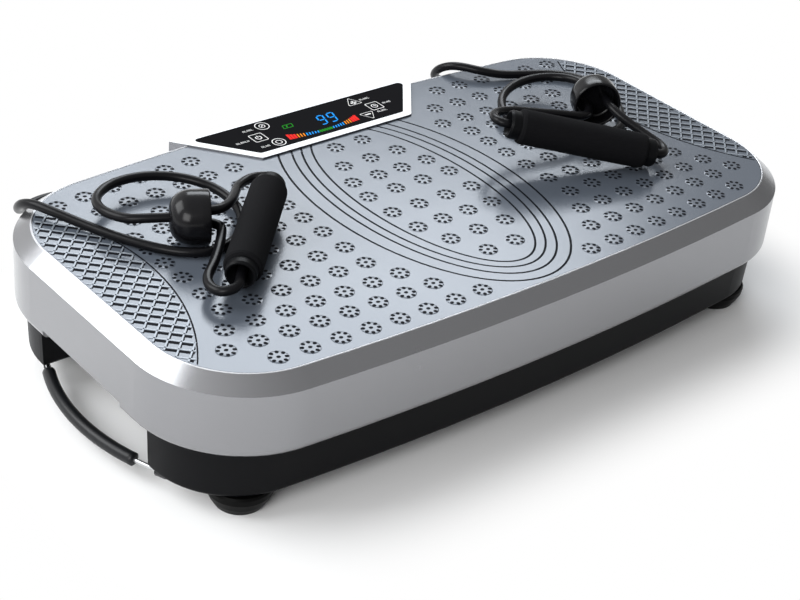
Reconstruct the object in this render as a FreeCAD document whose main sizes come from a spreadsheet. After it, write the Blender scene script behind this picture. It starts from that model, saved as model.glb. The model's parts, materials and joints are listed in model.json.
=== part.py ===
import FreeCAD, Part
import math
import os
import Sketcher

# Seesaw vibration plate.  +X runs along the length, -Y is the plain long side and +Y the side with the
# console.  The origin lies on the floor, below the middle of the plan.  All lengths are millimetres.

Vector = FreeCAD.Vector
Rotation = FreeCAD.Rotation
Placement = FreeCAD.Placement
X_DIR = Vector(1, 0, 0)
Y_DIR = Vector(0, 1, 0)
Z_DIR = Vector(0, 0, 1)

doc = FreeCAD.newDocument("vibration_plate")
sheet = doc.addObject("Spreadsheet::Sheet", "Sheet")

SIZES = [
    # upper shell and what lies on it
    ("mat_half_length", 316.0),
    ("mat_half_depth", 165.0),
    ("mat_corner", 80.0),
    ("mat_crown", 2900.0),
    ("mat_top", 131.0),
    ("mat_thickness", 5.0),
    ("mat_gap", 0.3),
    ("groove_width", 2.0),
    ("groove_depth", 1.2),
    ("lip_width", 1.6),
    ("rim_width", 15.0),
    ("rim_drop", 11.0),
    ("skirt_bottom", 64.5),
    ("skirt_wall", 3.0),
    ("hem_lip", 7.0),
    ("hem_height", 7.0),
    ("hem_round", 6.0),
    ("shell_skin", 4.0),
    ("cavity_inset", 2.0),
    ("arch_half_width", 56.0),
    ("arch_rise", 8.0),
    # console
    ("window_front_half", 80.0),
    ("window_back_half", 121.0),
    ("window_front", 118.0),
    ("window_back", 168.0),
    ("window_thickness", 2.5),
    ("window_gap", 0.2),
    ("bezel_strip", 7.5),
    ("bezel_back_strip", 7.5),
    ("bezel_rise", 1.6),
    ("bezel_depth", 12.0),
    ("board_half_length", 52.0),
    ("board_half_width", 17.0),
    ("board_thickness", 1.6),
    ("display_margin", 6.0),
    # lower housing
    ("floor_gap", 20.0),
    ("base_end_inset", 12.0),
    ("base_side_inset", 14.0),
    ("base_corner", 74.0),
    ("base_crown", 2900.0),
    ("base_taper_width", 3.0),
    ("base_top", 98.0),
    ("base_wall", 3.0),
    ("base_round", 4.0),
    ("recess_half_width", 77.0),
    ("recess_depth", 57.0),
    # feet
    ("foot_end_inset", 51.0),
    ("foot_side_inset", 41.0),
    ("foot_radius", 27.0),
    ("foot_tread", 20.0),
    ("foot_cup", 2.5),
    ("foot_screw", 4.0),
    ("foot_head", 7.0),
    ("foot_head_height", 4.0),
    ("screw_gap", 0.1),
    # rocking pivot
    ("pivot_height", 84.0),
    ("pivot_radius", 8.0),
    ("pivot_gap", 0.05),
    ("bush_wall", 3.0),
    ("lug_offset", 85.0),
    ("lug_thickness", 8.0),
    ("lug_ring", 6.0),
    ("lug_half_width", 35.0),
    ("stand_offset", 104.0),
    ("stand_thickness", 12.0),
    ("stand_ring", 8.0),
    ("stand_half_width", 38.0),
    ("stand_flange", 5.0),
    ("stand_flange_width", 24.0),
    ("shaft_overhang", 4.0),
    ("deck_thickness", 2.0),
    ("deck_half_length", 250.0),
    ("deck_half_depth", 98.0),
    ("deck_rib_height", 12.0),
    ("deck_rib_width", 14.0),
    ("deck_rib_offset", 62.0),
    # eccentric drive
    ("crank_height", 56.0),
    ("crank_radius", 8.5),
    ("crank_throw", 1.5),
    ("crank_gap", 0.05),
    ("main_bearing_x", 55.0),
    ("main_bearing_radius", 20.0),
    ("bearing_width", 12.0),
    ("pedestal_width", 16.0),
    ("pedestal_ring", 6.0),
    ("pedestal_half_width", 36.0),
    ("pedestal_flange", 6.0),
    ("rod_x", 94.0),
    ("rod_bearing_radius", 17.5),
    ("rod_open_gap", 5.2),
    ("rod_ring", 5.3),
    ("rod_thickness", 12.0),
    ("rod_shank", 14.0),
    ("rod_pin_height", 106.0),
    ("rod_pin_radius", 5.0),
    ("rod_head_radius", 9.0),
    ("rod_side_gap", 1.0),
    ("rod_cheek", 5.0),
    ("rod_cheek_width", 24.0),
    ("pulley_x", 30.0),
    ("pulley_radius", 31.0),
    ("pulley_width", 14.0),
    ("pulley_hub", 14.0),
    ("pulley_web", 5.0),
    ("pulley_hole", 6.0),
    ("belt_width", 9.0),
    ("belt_thickness", 3.0),
    ("belt_gap", 0.3),
    ("motor_y", -78.0),
    ("motor_height", 58.0),
    ("motor_radius", 31.0),
    ("motor_start", 46.0),
    ("motor_length", 96.0),
    ("motor_pulley_radius", 13.0),
    ("motor_bore_start", 30.0),
    ("saddle_length", 60.0),
    ("saddle_inset", 3.0),
    ("saddle_drop", 14.0),
    ("motor_shaft_radius", 4.0),
    # carry handles
    ("handle_end_inset", 4.0),
    ("handle_bulge", 12.0),
    ("handle_half_span", 77.0),
    ("handle_height", 18.0),
    ("handle_wire_radius", 1.75),
    ("handle_grip_radius", 4.3),
    ("handle_grip_half", 66.0),
    ("handle_tail", 15.0),
    ("clamp_size", 16.0),
    ("clamp_thickness", 2.0),
    # bands
    ("cord_radius", 4.0),
    ("tab_end_inset", 84.0),
    ("tab_reach", 2.5),
    ("tab_width", 13.0),
    ("tab_thickness", 3.0),
    ("tab_upstand", 24.0),
    ("tab_fold", 1.5),
    ("tab_hole", 3.2),
    ("tab_relief", 0.8),
    ("hook_ring", 6.0),
    ("hook_wire", 1.8),
    ("ferrule_radius", 6.0),
    ("ferrule_length", 20.0),
    ("stopper_radius", 22.0),
    ("stopper_depth", 32.0),
    ("stopper_wall", 3.0),
    ("stopper_cup", 14.0),
    ("foam_radius", 15.5),
    ("foam_length", 118.0),
    ("foam_round", 3.0),
    ("core_radius", 10.7),
    ("core_bore", 5.6),
    ("core_gap", 0.3),
    ("collar_radius", 12.5),
    ("collar_length", 9.0),
    ("collar_flare", 4.9),
    # electrical parts
    ("power_board_inset", 134.0),
    ("power_board_half_length", 50.0),
    ("power_board_half_width", 45.0),
    ("post_height", 8.0),
    ("post_radius", 4.0),
    ("inlet_height", 42.0),
    ("inlet_x", -62.0),
    ("inlet_half_width", 13.5),
    ("inlet_half_height", 10.0),
    ("inlet_depth", 24.0),
    ("switch_x", -18.0),
    ("switch_half_width", 6.5),
    ("switch_half_height", 9.5),
    ("fuse_x", 16.0),
    ("fuse_radius", 6.0),
    ("fuse_length", 26.0),
    ("panel_flange", 2.0),
    ("panel_lap", 3.5),
    ("panel_gap", 0.3),
    ("axle_radius", 1.5),
    ("capacitor_radius", 9.0),
    ("capacitor_height", 28.0),
    ("choke_length", 34.0),
    ("choke_width", 28.0),
    ("choke_height", 24.0),
    ("sink_length", 46.0),
    ("sink_width", 30.0),
    ("sink_base", 4.0),
    ("fin_height", 22.0),
    ("fin_thickness", 2.0),
]

for row, (alias, value) in enumerate(SIZES, start=1):
    sheet.set(f"A{row}", alias.replace("_", " "))
    sheet.set(f"B{row}", str(value))
    sheet.setAlias(f"B{row}", alias)
doc.recompute()


class Size:
    """A length that carries its value and the sheet expression that gives it."""

    def __init__(self, value, text):
        self.value = value
        self.text = text

    def joined(self, other, sign, value):
        return Size(value, f"({self.text} {sign} {other.text})")

    def __add__(self, other):
        other = as_size(other)
        return self.joined(other, "+", self.value + other.value)

    def __sub__(self, other):
        other = as_size(other)
        return self.joined(other, "-", self.value - other.value)

    def __mul__(self, other):
        other = as_size(other)
        return self.joined(other, "*", self.value * other.value)

    def __truediv__(self, other):
        other = as_size(other)
        return self.joined(other, "/", self.value / other.value)

    def __neg__(self):
        return self * -1


def as_size(thing):
    return thing if isinstance(thing, Size) else Size(float(thing), f"({float(thing)})")


def named(alias):
    return Size(float(sheet.get(alias)), f"Sheet.{alias}")


S = {alias: named(alias) for alias, _ in SIZES}
ZERO = as_size(0)
S["base_half_length"] = S["mat_half_length"] + S["rim_width"] - S["base_end_inset"]
S["base_half_depth"] = S["mat_half_depth"] + S["rim_width"] - S["base_side_inset"]
S["foot_x"] = S["base_half_length"] - S["foot_end_inset"]
S["foot_y"] = S["base_half_depth"] - S["foot_side_inset"]
S["handle_end_x"] = S["base_half_length"] - S["handle_end_inset"]
S["handle_mid_x"] = S["base_half_length"] + S["handle_bulge"]
S["tab_x"] = S["mat_half_length"] - S["tab_end_inset"]
S["power_board_x"] = -(S["base_half_length"] - S["power_board_inset"])


# --- helpers that build features ---------------------------------------------------------------------

PARTS = []


def keep(thing, label):
    """Makes an object one of the part's pieces under its final name."""
    thing.Label = label
    PARTS.append(thing)
    return thing


def bind(thing, prop, size):
    thing.setExpression(prop, as_size(size).text)


def new_body(name):
    return doc.addObject("PartDesign::Body", name)


def new_sketch(body, role, offset=ZERO):
    sketch = body.newObject("Sketcher::SketchObject", body.Name + "_sketch")
    plane = next(item for item in body.Origin.OriginFeatures if item.Role == role)
    sketch.AttachmentSupport = [(plane, "")]
    sketch.MapMode = "FlatFace"
    bind(sketch, "AttachmentOffset.Base.z", offset)
    return sketch


def drive(sketch, kind, arguments, size):
    """Adds a dimension to a sketch and ties it to the sheet."""
    index = sketch.addConstraint(Sketcher.Constraint(kind, *arguments, size.value))
    sketch.setExpression(f"Constraints[{index}]", size.text)


def polygon(sketch, corners):
    """Closed outline of straight lines through corners, each a pair of sizes."""
    corners = [(as_size(x), as_size(y)) for x, y in corners]
    first = sketch.GeometryCount
    count = len(corners)
    points = [Vector(x.value, y.value, 0) for x, y in corners]
    lines = [Part.LineSegment(points[i], points[(i + 1) % count]) for i in range(count)]
    sketch.addGeometry(lines, False)
    joints = [
        Sketcher.Constraint("Coincident", first + i, 2, first + (i + 1) % count, 1) for i in range(count)
    ]
    sketch.addConstraint(joints)
    for i, (x, y) in enumerate(corners):
        drive(sketch, "DistanceX", (-1, 1, first + i, 1), x)
        drive(sketch, "DistanceY", (-1, 1, first + i, 1), y)


def circle(sketch, x, y, radius):
    x, y, radius = as_size(x), as_size(y), as_size(radius)
    index = sketch.addGeometry(Part.Circle(Vector(x.value, y.value, 0), Z_DIR, radius.value), False)
    drive(sketch, "Radius", (index,), radius)
    drive(sketch, "DistanceX", (-1, 1, index, 3), x)
    drive(sketch, "DistanceY", (-1, 1, index, 3), y)


def box_outline(sketch, left, right, low, high):
    polygon(sketch, [(left, low), (right, low), (right, high), (left, high)])


def plan_angle(length, depth, corner, crown):
    """Where a corner arc meets the bowed side: height of its centre and the direction of the join."""
    across = length - corner
    rise = math.sqrt((crown - corner) ** 2 - across**2)
    return depth - crown + rise, math.atan2(rise, across)


def plan_outline(sketch, length, depth, corner, crown):
    """Plan of the plate: straight ends, bowed long sides and four tangent corner arcs."""
    centre_y, join = plan_angle(length.value, depth.value, corner.value, crown.value)
    across = length.value - corner.value
    middle_y = depth.value - crown.value
    turn = math.pi

    def arc(x, y, radius, start, end):
        return Part.ArcOfCircle(Part.Circle(Vector(x, y, 0), Z_DIR, radius), start, end)

    def side(x, low, high):
        return Part.LineSegment(Vector(x, low, 0), Vector(x, high, 0))

    sketch.addGeometry(
        [
            side(length.value, -centre_y, centre_y),
            arc(across, centre_y, corner.value, 0, join),
            arc(0, middle_y, crown.value, join, turn - join),
            arc(-across, centre_y, corner.value, turn - join, turn),
            side(-length.value, centre_y, -centre_y),
            arc(-across, -centre_y, corner.value, turn, turn + join),
            arc(0, -middle_y, crown.value, turn + join, 2 * turn - join),
            arc(across, -centre_y, corner.value, 2 * turn - join, 2 * turn),
        ],
        False,
    )
    rules = [Sketcher.Constraint("Tangent", i, 2, (i + 1) % 8, 1) for i in range(8)]
    rules += [Sketcher.Constraint("Vertical", i) for i in (0, 4)]
    rules += [Sketcher.Constraint("Equal", 1, i) for i in (3, 5, 7)]
    rules += [Sketcher.Constraint("Equal", 2, 6)]
    rules += [Sketcher.Constraint("PointOnObject", i, 3, -2) for i in (2, 6)]
    sketch.addConstraint(rules)
    drive(sketch, "Radius", (1,), corner)
    drive(sketch, "Radius", (2,), crown)
    drive(sketch, "DistanceX", (-1, 1, 0, 1), length)
    drive(sketch, "DistanceX", (-1, 1, 4, 1), -length)
    drive(sketch, "DistanceY", (-1, 1, 2, 3), depth - crown)
    drive(sketch, "DistanceY", (-1, 1, 6, 3), crown - depth)


def pad(body, sketch, length, backward=False):
    feature = body.newObject("PartDesign::Pad", body.Name + "_pad")
    feature.Profile = sketch
    bind(feature, "Length", length)
    feature.Reversed = backward
    sketch.Visibility = False
    doc.recompute()
    return feature


def pocket(body, sketch, length=None, backward=False, both=False):
    """Cuts a sketch into a body; the volume has to fall."""
    before = body.Shape.Volume
    feature = body.newObject("PartDesign::Pocket", body.Name + "_pocket")
    feature.Profile = sketch
    if length is None:
        feature.Type = "ThroughAll"
    else:
        bind(feature, "Length", length)
    if both:
        feature.SideType = "Symmetric"
    feature.Reversed = backward
    doc.recompute()
    if body.Shape.Volume > before - 1e-3:
        raise RuntimeError(f"a pocket of {body.Name} cuts nothing")
    return feature


def revolution(body, sketch, axis="V_Axis"):
    feature = body.newObject("PartDesign::Revolution", body.Name + "_turned")
    feature.Profile = sketch
    feature.ReferenceAxis = (sketch, [axis])
    feature.Angle = 360
    doc.recompute()
    return feature


def round_edges(body, test, radius, kind="Fillet"):
    """Rounds or bevels the edges of the body's tip that pass the test."""
    tip = body.Tip
    names = [f"Edge{i}" for i, edge in enumerate(tip.Shape.Edges, start=1) if test(edge)]
    feature = body.newObject("PartDesign::" + kind, body.Name + "_edges")
    feature.Base = (tip, names)
    bind(feature, "Radius" if kind == "Fillet" else "Size", radius)
    doc.recompute()
    return feature


def lies_at(edge, height, tolerance=1e-3):
    box = edge.BoundBox
    return abs(box.ZMin - height) < tolerance and abs(box.ZMax - height) < tolerance


def cylinder(name, radius, height, start, direction=Z_DIR):
    item = doc.addObject("Part::Cylinder", name)
    bind(item, "Radius", radius)
    bind(item, "Height", height)
    item.Placement = Placement(start, Rotation(Z_DIR, direction))
    return item


def block(name, x_size, y_size, z_size, middle_bottom):
    """Box with its middle in plan and its underside at the given point."""
    x_size, y_size, z_size = as_size(x_size), as_size(y_size), as_size(z_size)
    item = doc.addObject("Part::Box", name)
    bind(item, "Length", x_size)
    bind(item, "Width", y_size)
    bind(item, "Height", z_size)
    item.Placement.Base = middle_bottom - Vector(x_size.value / 2, y_size.value / 2, 0)
    return item


def joined(name, items):
    if len(items) == 1:
        return items[0]
    union = doc.addObject("Part::MultiFuse", name)
    union.Shapes = items
    return union


def cut(name, base, tool):
    item = doc.addObject("Part::Cut", name)
    item.Base = base
    item.Tool = tool
    return item


def ring(name, outer, inner, height, start, direction=Z_DIR):
    height = as_size(height)
    middle = start - direction * 1.0
    hole = cylinder(name + "_bore", inner, height + 2, middle, direction)
    return cut(name, cylinder(name + "_body", outer, height, start, direction), hole)


# --- places that several pieces share ----------------------------------------------------------------

seat_height = S["mat_top"] - S["mat_thickness"]
skin_bottom = seat_height - S["shell_skin"]
deck_bottom = skin_bottom - S["deck_thickness"]
rim_height = S["mat_top"] - S["rim_drop"]
floor_top = S["floor_gap"] + S["base_wall"]
bush_radius = S["pivot_radius"] + S["pivot_gap"] + S["bush_wall"]


def console_corners(strip, back_strip):
    """Trapezoid of the console window, grown by a strip on its front and sides and one at its back."""
    front = S["window_front"] - strip
    back = S["window_back"] + back_strip
    slope = (S["window_back_half"] - S["window_front_half"]) / (S["window_back"] - S["window_front"])
    lean = (slope * slope + 1).value ** 0.5
    side = strip * lean
    near = S["window_front_half"] + side - slope * strip
    far = S["window_back_half"] + side + slope * back_strip
    return [(-near, front), (near, front), (far, back), (-far, back)]


# --- upper shell ---------------------------------------------------------------------------------------


def plate_plan(body, offset, height, crown=S["mat_crown"]):
    """Sketch of the plate's plan, the mat's outline moved out by an offset."""
    sketch = new_sketch(body, "XY_Plane", height)
    plan_outline(
        sketch,
        S["mat_half_length"] + offset,
        S["mat_half_depth"] + offset,
        S["mat_corner"] + offset,
        crown + offset,
    )
    return sketch


def make_top_shell():
    body = new_body("shell")
    rim = S["rim_width"]
    pad(body, plate_plan(body, rim, S["skirt_bottom"]), rim_height - S["skirt_bottom"])
    slope = body.newObject("PartDesign::AdditiveLoft", "shell_slope")
    slope.Profile = plate_plan(body, rim, rim_height)
    slope.Sections = [plate_plan(body, S["lip_width"], S["mat_top"])]
    slope.Ruled = True
    doc.recompute()
    round_edges(body, lambda edge: lies_at(edge, S["skirt_bottom"].value), S["hem_round"])
    cavity_top = rim_height - S["skirt_wall"]
    hem_top = S["skirt_bottom"] + S["hem_height"]
    pocket(body, plate_plan(body, rim - S["hem_lip"], S["skirt_bottom"]), S["hem_height"], backward=True)
    pocket(body, plate_plan(body, rim - S["skirt_wall"], hem_top), cavity_top - hem_top, backward=True)
    pocket(body, plate_plan(body, -S["cavity_inset"], cavity_top), skin_bottom - cavity_top, backward=True)
    pocket(body, plate_plan(body, ZERO, S["mat_top"]), S["mat_thickness"])
    # raised frame of the console, with the seat of its window and the opening for the display
    console_top = S["mat_top"] + S["bezel_rise"]
    frame_sketch = new_sketch(body, "XY_Plane", console_top)
    polygon(frame_sketch, console_corners(S["bezel_strip"], S["bezel_back_strip"]))
    pad(body, frame_sketch, S["bezel_depth"], backward=True)
    window_sketch = new_sketch(body, "XY_Plane", console_top)
    polygon(window_sketch, console_corners(S["window_gap"], S["window_gap"]))
    pocket(body, window_sketch, S["window_thickness"] + S["window_gap"])
    opening = new_sketch(body, "XY_Plane", console_top)
    half_length = S["board_half_length"] - S["display_margin"] + 1
    half_width = S["board_half_width"] - S["display_margin"] + 1
    middle = (S["window_front"] + S["window_back"]) / 2
    box_outline(opening, -half_length, half_length, middle - half_width, middle + half_width)
    pocket(body, opening, S["bezel_depth"] + 1)
    # arch over the carry handle at both ends
    arch = new_sketch(body, "YZ_Plane", -(S["mat_half_length"] + rim * 2))
    arch_top = S["skirt_bottom"] + S["arch_rise"]
    box_outline(arch, -S["arch_half_width"], S["arch_half_width"], S["skirt_bottom"] - 5, arch_top)
    pocket(body, arch, (S["mat_half_length"] + rim * 2) * 2, backward=True)
    return keep(body, "top_shell")


def make_mat():
    body = new_body("mat_body")
    pad(body, plate_plan(body, -S["mat_gap"], seat_height), S["mat_thickness"])
    notch = new_sketch(body, "XY_Plane", S["mat_top"])
    strip = S["bezel_strip"] + S["mat_gap"]
    polygon(notch, console_corners(strip, strip + S["rim_width"]))
    pocket(body, notch)
    for half_width, half_length in OVALS:
        groove = new_sketch(body, "XY_Plane", S["mat_top"])
        inner = S["groove_width"].value / 2
        for step in (-inner, inner):
            groove.addGeometry(
                Part.Ellipse(
                    Vector(0, half_length + step, 0),
                    Vector(half_width + step, 0, 0),
                    Vector(0, 0, 0),
                ),
                False,
            )
        pocket(body, groove, S["groove_depth"])
    return keep(body, "mat")


OVALS = [(93.0, 160.0), (79.0, 149.0), (70.0, 139.0), (59.0, 131.0)]


def make_console():
    console_top = S["mat_top"] + S["bezel_rise"]
    body = new_body("window_body")
    sketch = new_sketch(body, "XY_Plane", console_top - S["window_thickness"])
    polygon(sketch, console_corners(ZERO, ZERO))
    pad(body, sketch, S["window_thickness"])
    keep(body, "console_window")
    middle = (S["window_front"] + S["window_back"]) / 2
    board_top = console_top - S["bezel_depth"] - S["window_gap"]
    board = block(
        "board_body",
        S["board_half_length"] * 2,
        S["board_half_width"] * 2,
        S["board_thickness"],
        Vector(0, middle.value, (board_top - S["board_thickness"]).value),
    )
    inset = S["display_margin"] * 2
    module = block(
        "module_body",
        S["board_half_length"] * 2 - inset,
        S["board_half_width"] * 2 - inset,
        console_top - S["window_thickness"] - S["window_gap"] * 2 - board_top,
        Vector(0, middle.value, board_top.value),
    )
    keep(joined("display", [board, module]), "display_board")


def make_deck_plate():
    body = new_body("deck")
    sketch = new_sketch(body, "XY_Plane", deck_bottom)
    box_outline(
        sketch,
        -S["deck_half_length"],
        S["deck_half_length"],
        -S["deck_half_depth"],
        S["deck_half_depth"],
    )
    pad(body, sketch, S["deck_thickness"])
    for side in (-1, 1):
        for end in (-1, 1):
            rib = new_sketch(body, "XY_Plane", deck_bottom)
            inner = S["deck_rib_offset"] * side
            outer = (S["deck_rib_offset"] + S["deck_rib_width"]) * side
            start = (S["rod_x"] + 30) * end
            stop = (S["deck_half_length"] - 10) * end
            corners = [(start, inner), (stop, inner), (stop, outer), (start, outer)]
            polygon(rib, corners)
            pad(body, rib, S["deck_rib_height"], backward=True)
    return keep(body, "deck_plate")


# --- rocking pivot ------------------------------------------------------------------------------------


def bracket(name, thickness, start, foot_half, foot_height, head_height, head_radius, hole_radius):
    """Upright plate across Y that narrows from a wide foot to a round head with a bore."""
    body = new_body(name)
    sketch = new_sketch(body, "XZ_Plane", -start)
    polygon(
        sketch,
        [
            (-foot_half, foot_height),
            (foot_half, foot_height),
            (head_radius, head_height),
            (-head_radius, head_height),
        ],
    )
    pad(body, sketch, thickness)
    head = new_sketch(body, "XZ_Plane", -start)
    circle(head, 0, head_height, head_radius)
    pad(body, head, thickness)
    bore = new_sketch(body, "XZ_Plane", -start)
    circle(bore, 0, head_height, hole_radius)
    pocket(body, bore, thickness, backward=True)
    return body


def make_pivot():
    bushes = []
    for side, word in ((-1, "front"), (1, "rear")):
        lug_face = S["lug_offset"] * side + S["lug_thickness"] / 2
        lug = bracket(
            f"lug_{word}",
            S["lug_thickness"],
            lug_face,
            S["lug_half_width"],
            deck_bottom,
            S["pivot_height"],
            bush_radius + S["lug_ring"],
            bush_radius,
        )
        keep(lug, f"pivot_lug_{word}")
        lug_back = (lug_face - S["lug_thickness"]).value
        bushes.append(
            ring(
                f"bush_{word}",
                bush_radius,
                S["pivot_radius"] + S["pivot_gap"],
                S["lug_thickness"],
                Vector(0, lug_back, S["pivot_height"].value),
                Y_DIR,
            )
        )
        stand_face = S["stand_offset"] * side + S["stand_thickness"] / 2
        stand = bracket(
            f"stand_{word}",
            S["stand_thickness"],
            stand_face,
            S["stand_half_width"],
            floor_top,
            S["pivot_height"],
            S["pivot_radius"] + S["stand_ring"],
            S["pivot_radius"] + S["pivot_gap"],
        )
        flange = new_sketch(stand, "XY_Plane", floor_top)
        near = S["stand_offset"] * side - S["stand_flange_width"] / 2
        far = S["stand_offset"] * side + S["stand_flange_width"] / 2
        box_outline(flange, -(S["stand_half_width"] + 10), S["stand_half_width"] + 10, near, far)
        pad(stand, flange, S["stand_flange"])
        keep(stand, f"pivot_stand_{word}")
    keep(joined("bushes", bushes), "pivot_bushes")
    half = S["stand_offset"] + S["stand_thickness"] / 2 + S["shaft_overhang"]
    start = Vector(0, -half.value, S["pivot_height"].value)
    keep(cylinder("pivot", S["pivot_radius"], half * 2, start, Y_DIR), "pivot_shaft")


# --- eccentric drive ----------------------------------------------------------------------------------


def along_x(x, y, z):
    """Placement that lays a piece modelled along Z down along X."""
    return Placement(Vector(x, y, z), Rotation(Z_DIR, X_DIR))


def make_crank():
    height = S["crank_height"].value
    journal_length = S["bearing_width"] + 10
    journal_start = S["rod_x"] - journal_length / 2
    shaft = cylinder(
        "shaft", S["crank_radius"], journal_start * 2, Vector(-journal_start.value, 0, height), X_DIR
    )
    pieces = [shaft]
    bearings = []
    for side in (-1, 1):
        start = (journal_start * side).value if side > 0 else -(journal_start + journal_length).value
        throw = (S["crank_throw"] * side).value
        pieces.append(
            cylinder("journal", S["crank_radius"], journal_length, Vector(start, throw, height), X_DIR)
        )
        bearings.append(
            ring(
                "rod_race",
                S["rod_bearing_radius"],
                S["crank_radius"],
                S["bearing_width"],
                Vector((S["rod_x"] * side - S["bearing_width"] / 2).value, throw, height),
                X_DIR,
            )
        )
    keep(joined("crank", pieces), "crankshaft")
    keep(joined("rod_races", bearings), "rod_bearings")
    mains = []
    for side, word in ((-1, "left"), (1, "right")):
        middle = S["main_bearing_x"] * side
        mains.append(
            ring(
                "main_race",
                S["main_bearing_radius"],
                S["crank_radius"] + S["crank_gap"],
                S["bearing_width"],
                Vector((middle - S["bearing_width"] / 2).value, 0, height),
                X_DIR,
            )
        )
        body = new_body(f"pedestal_{word}")
        near = middle - S["pedestal_width"] / 2
        outer = S["main_bearing_radius"] + S["pedestal_ring"]
        sketch = new_sketch(body, "YZ_Plane", near)
        polygon(
            sketch,
            [
                (-outer, floor_top),
                (outer, floor_top),
                (outer, S["crank_height"]),
                (-outer, S["crank_height"]),
            ],
        )
        pad(body, sketch, S["pedestal_width"])
        head = new_sketch(body, "YZ_Plane", near)
        circle(head, 0, S["crank_height"], outer)
        pad(body, head, S["pedestal_width"])
        flange = new_sketch(body, "YZ_Plane", near)
        half = S["pedestal_half_width"]
        box_outline(flange, -half, half, floor_top, floor_top + S["pedestal_flange"])
        pad(body, flange, S["pedestal_width"])
        bore = new_sketch(body, "YZ_Plane", near)
        circle(bore, 0, S["crank_height"], S["main_bearing_radius"])
        pocket(body, bore, S["pedestal_width"], backward=True)
        keep(body, f"crank_pedestal_{word}")
    keep(joined("main_races", mains), "crank_bearings")


def make_rods():
    pins = []
    for side, word in ((-1, "left"), (1, "right")):
        middle = S["rod_x"] * side
        near = middle - S["rod_thickness"] / 2
        bore_radius = S["rod_bearing_radius"] + S["rod_open_gap"]
        body = new_body(f"rod_{word}")
        eye = new_sketch(body, "YZ_Plane", near)
        circle(eye, 0, S["crank_height"], bore_radius + S["rod_ring"])
        pad(body, eye, S["rod_thickness"])
        shank = new_sketch(body, "YZ_Plane", near)
        half = S["rod_shank"] / 2
        box_outline(shank, -half, half, S["crank_height"] + bore_radius, S["rod_pin_height"])
        pad(body, shank, S["rod_thickness"])
        head = new_sketch(body, "YZ_Plane", near)
        circle(head, 0, S["rod_pin_height"], S["rod_head_radius"])
        pad(body, head, S["rod_thickness"])
        bores = new_sketch(body, "YZ_Plane", near)
        circle(bores, 0, S["crank_height"], bore_radius)
        circle(bores, 0, S["rod_pin_height"], S["rod_pin_radius"] + S["crank_gap"])
        pocket(body, bores, S["rod_thickness"], backward=True)
        keep(body, f"rod_{word}")
        gap_half = S["rod_thickness"] / 2 + S["rod_side_gap"]
        outer_half = gap_half + S["rod_cheek"]
        low = S["rod_pin_height"] - S["rod_cheek_width"] / 2
        centre = Vector(middle.value, 0, 0)
        outside = block(
            "lug_outside",
            outer_half * 2,
            S["rod_cheek_width"],
            deck_bottom - low,
            centre + Z_DIR * low.value,
        )
        slot_height = deck_bottom - low - 3
        slot = block(
            "lug_slot",
            gap_half * 2,
            S["rod_cheek_width"] + 2,
            slot_height + 1,
            centre + Z_DIR * (low.value - 1),
        )
        hole_start = Vector((middle - outer_half).value - 1, 0, S["rod_pin_height"].value)
        hole = cylinder("lug_hole", S["rod_pin_radius"], outer_half * 2 + 2, hole_start, X_DIR)
        keep(cut(f"rod_lug_{word}_cut", cut("lug_open", outside, slot), hole), f"rod_lug_{word}")
        pins.append(
            cylinder("rod_pin", S["rod_pin_radius"], outer_half * 2, hole_start + X_DIR, X_DIR)
        )
    keep(joined("pins", pins), "rod_pins")


def pulley(name, radius, hub, bore):
    """Flat-belt pulley along Z with a groove for the belt, a thin web and a hub."""
    body = new_body(name)
    half = S["pulley_width"] / 2
    belt = S["belt_width"] / 2 + S["belt_gap"]
    web = S["pulley_web"] / 2
    rim = radius - S["belt_thickness"] - 4
    groove = radius - S["belt_thickness"]
    sketch = new_sketch(body, "XZ_Plane")
    if (rim - hub).value > 4:
        inside = [(hub, -half), (hub, -web), (rim, -web), (rim, -half)]
        outside = [(rim, half), (rim, web), (hub, web), (hub, half)]
    else:
        inside = []
        outside = []
    polygon(
        sketch,
        [(bore, -half)]
        + inside
        + [(radius, -half), (radius, -belt), (groove, -belt), (groove, belt), (radius, belt), (radius, half)]
        + outside
        + [(bore, half)],
    )
    revolution(body, sketch)
    return body


def make_pulleys():
    wheel = pulley("wheel", S["pulley_radius"], S["pulley_hub"], S["crank_radius"])
    hole = new_sketch(wheel, "XY_Plane", S["pulley_width"])
    circle(hole, (S["pulley_radius"] - S["belt_thickness"] - 4 + S["pulley_hub"]) / 2, 0, S["pulley_hole"])
    cut_hole = pocket(wheel, hole, S["pulley_width"] * 2)
    pattern = wheel.newObject("PartDesign::PolarPattern", "wheel_holes")
    pattern.Originals = [cut_hole]
    pattern.Axis = (hole, ["N_Axis"])
    pattern.Angle = 360
    pattern.Occurrences = 5
    wheel.Tip = pattern
    wheel.Placement = along_x(S["pulley_x"].value, 0, S["crank_height"].value)
    keep(wheel, "crank_pulley")
    motor_at = (S["pulley_x"].value, S["motor_y"].value, S["motor_height"].value)
    small_radius = S["motor_pulley_radius"]
    small = pulley("small_wheel", small_radius, small_radius, S["motor_shaft_radius"])
    small.Placement = along_x(*motor_at)
    keep(small, "motor_pulley")


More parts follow.
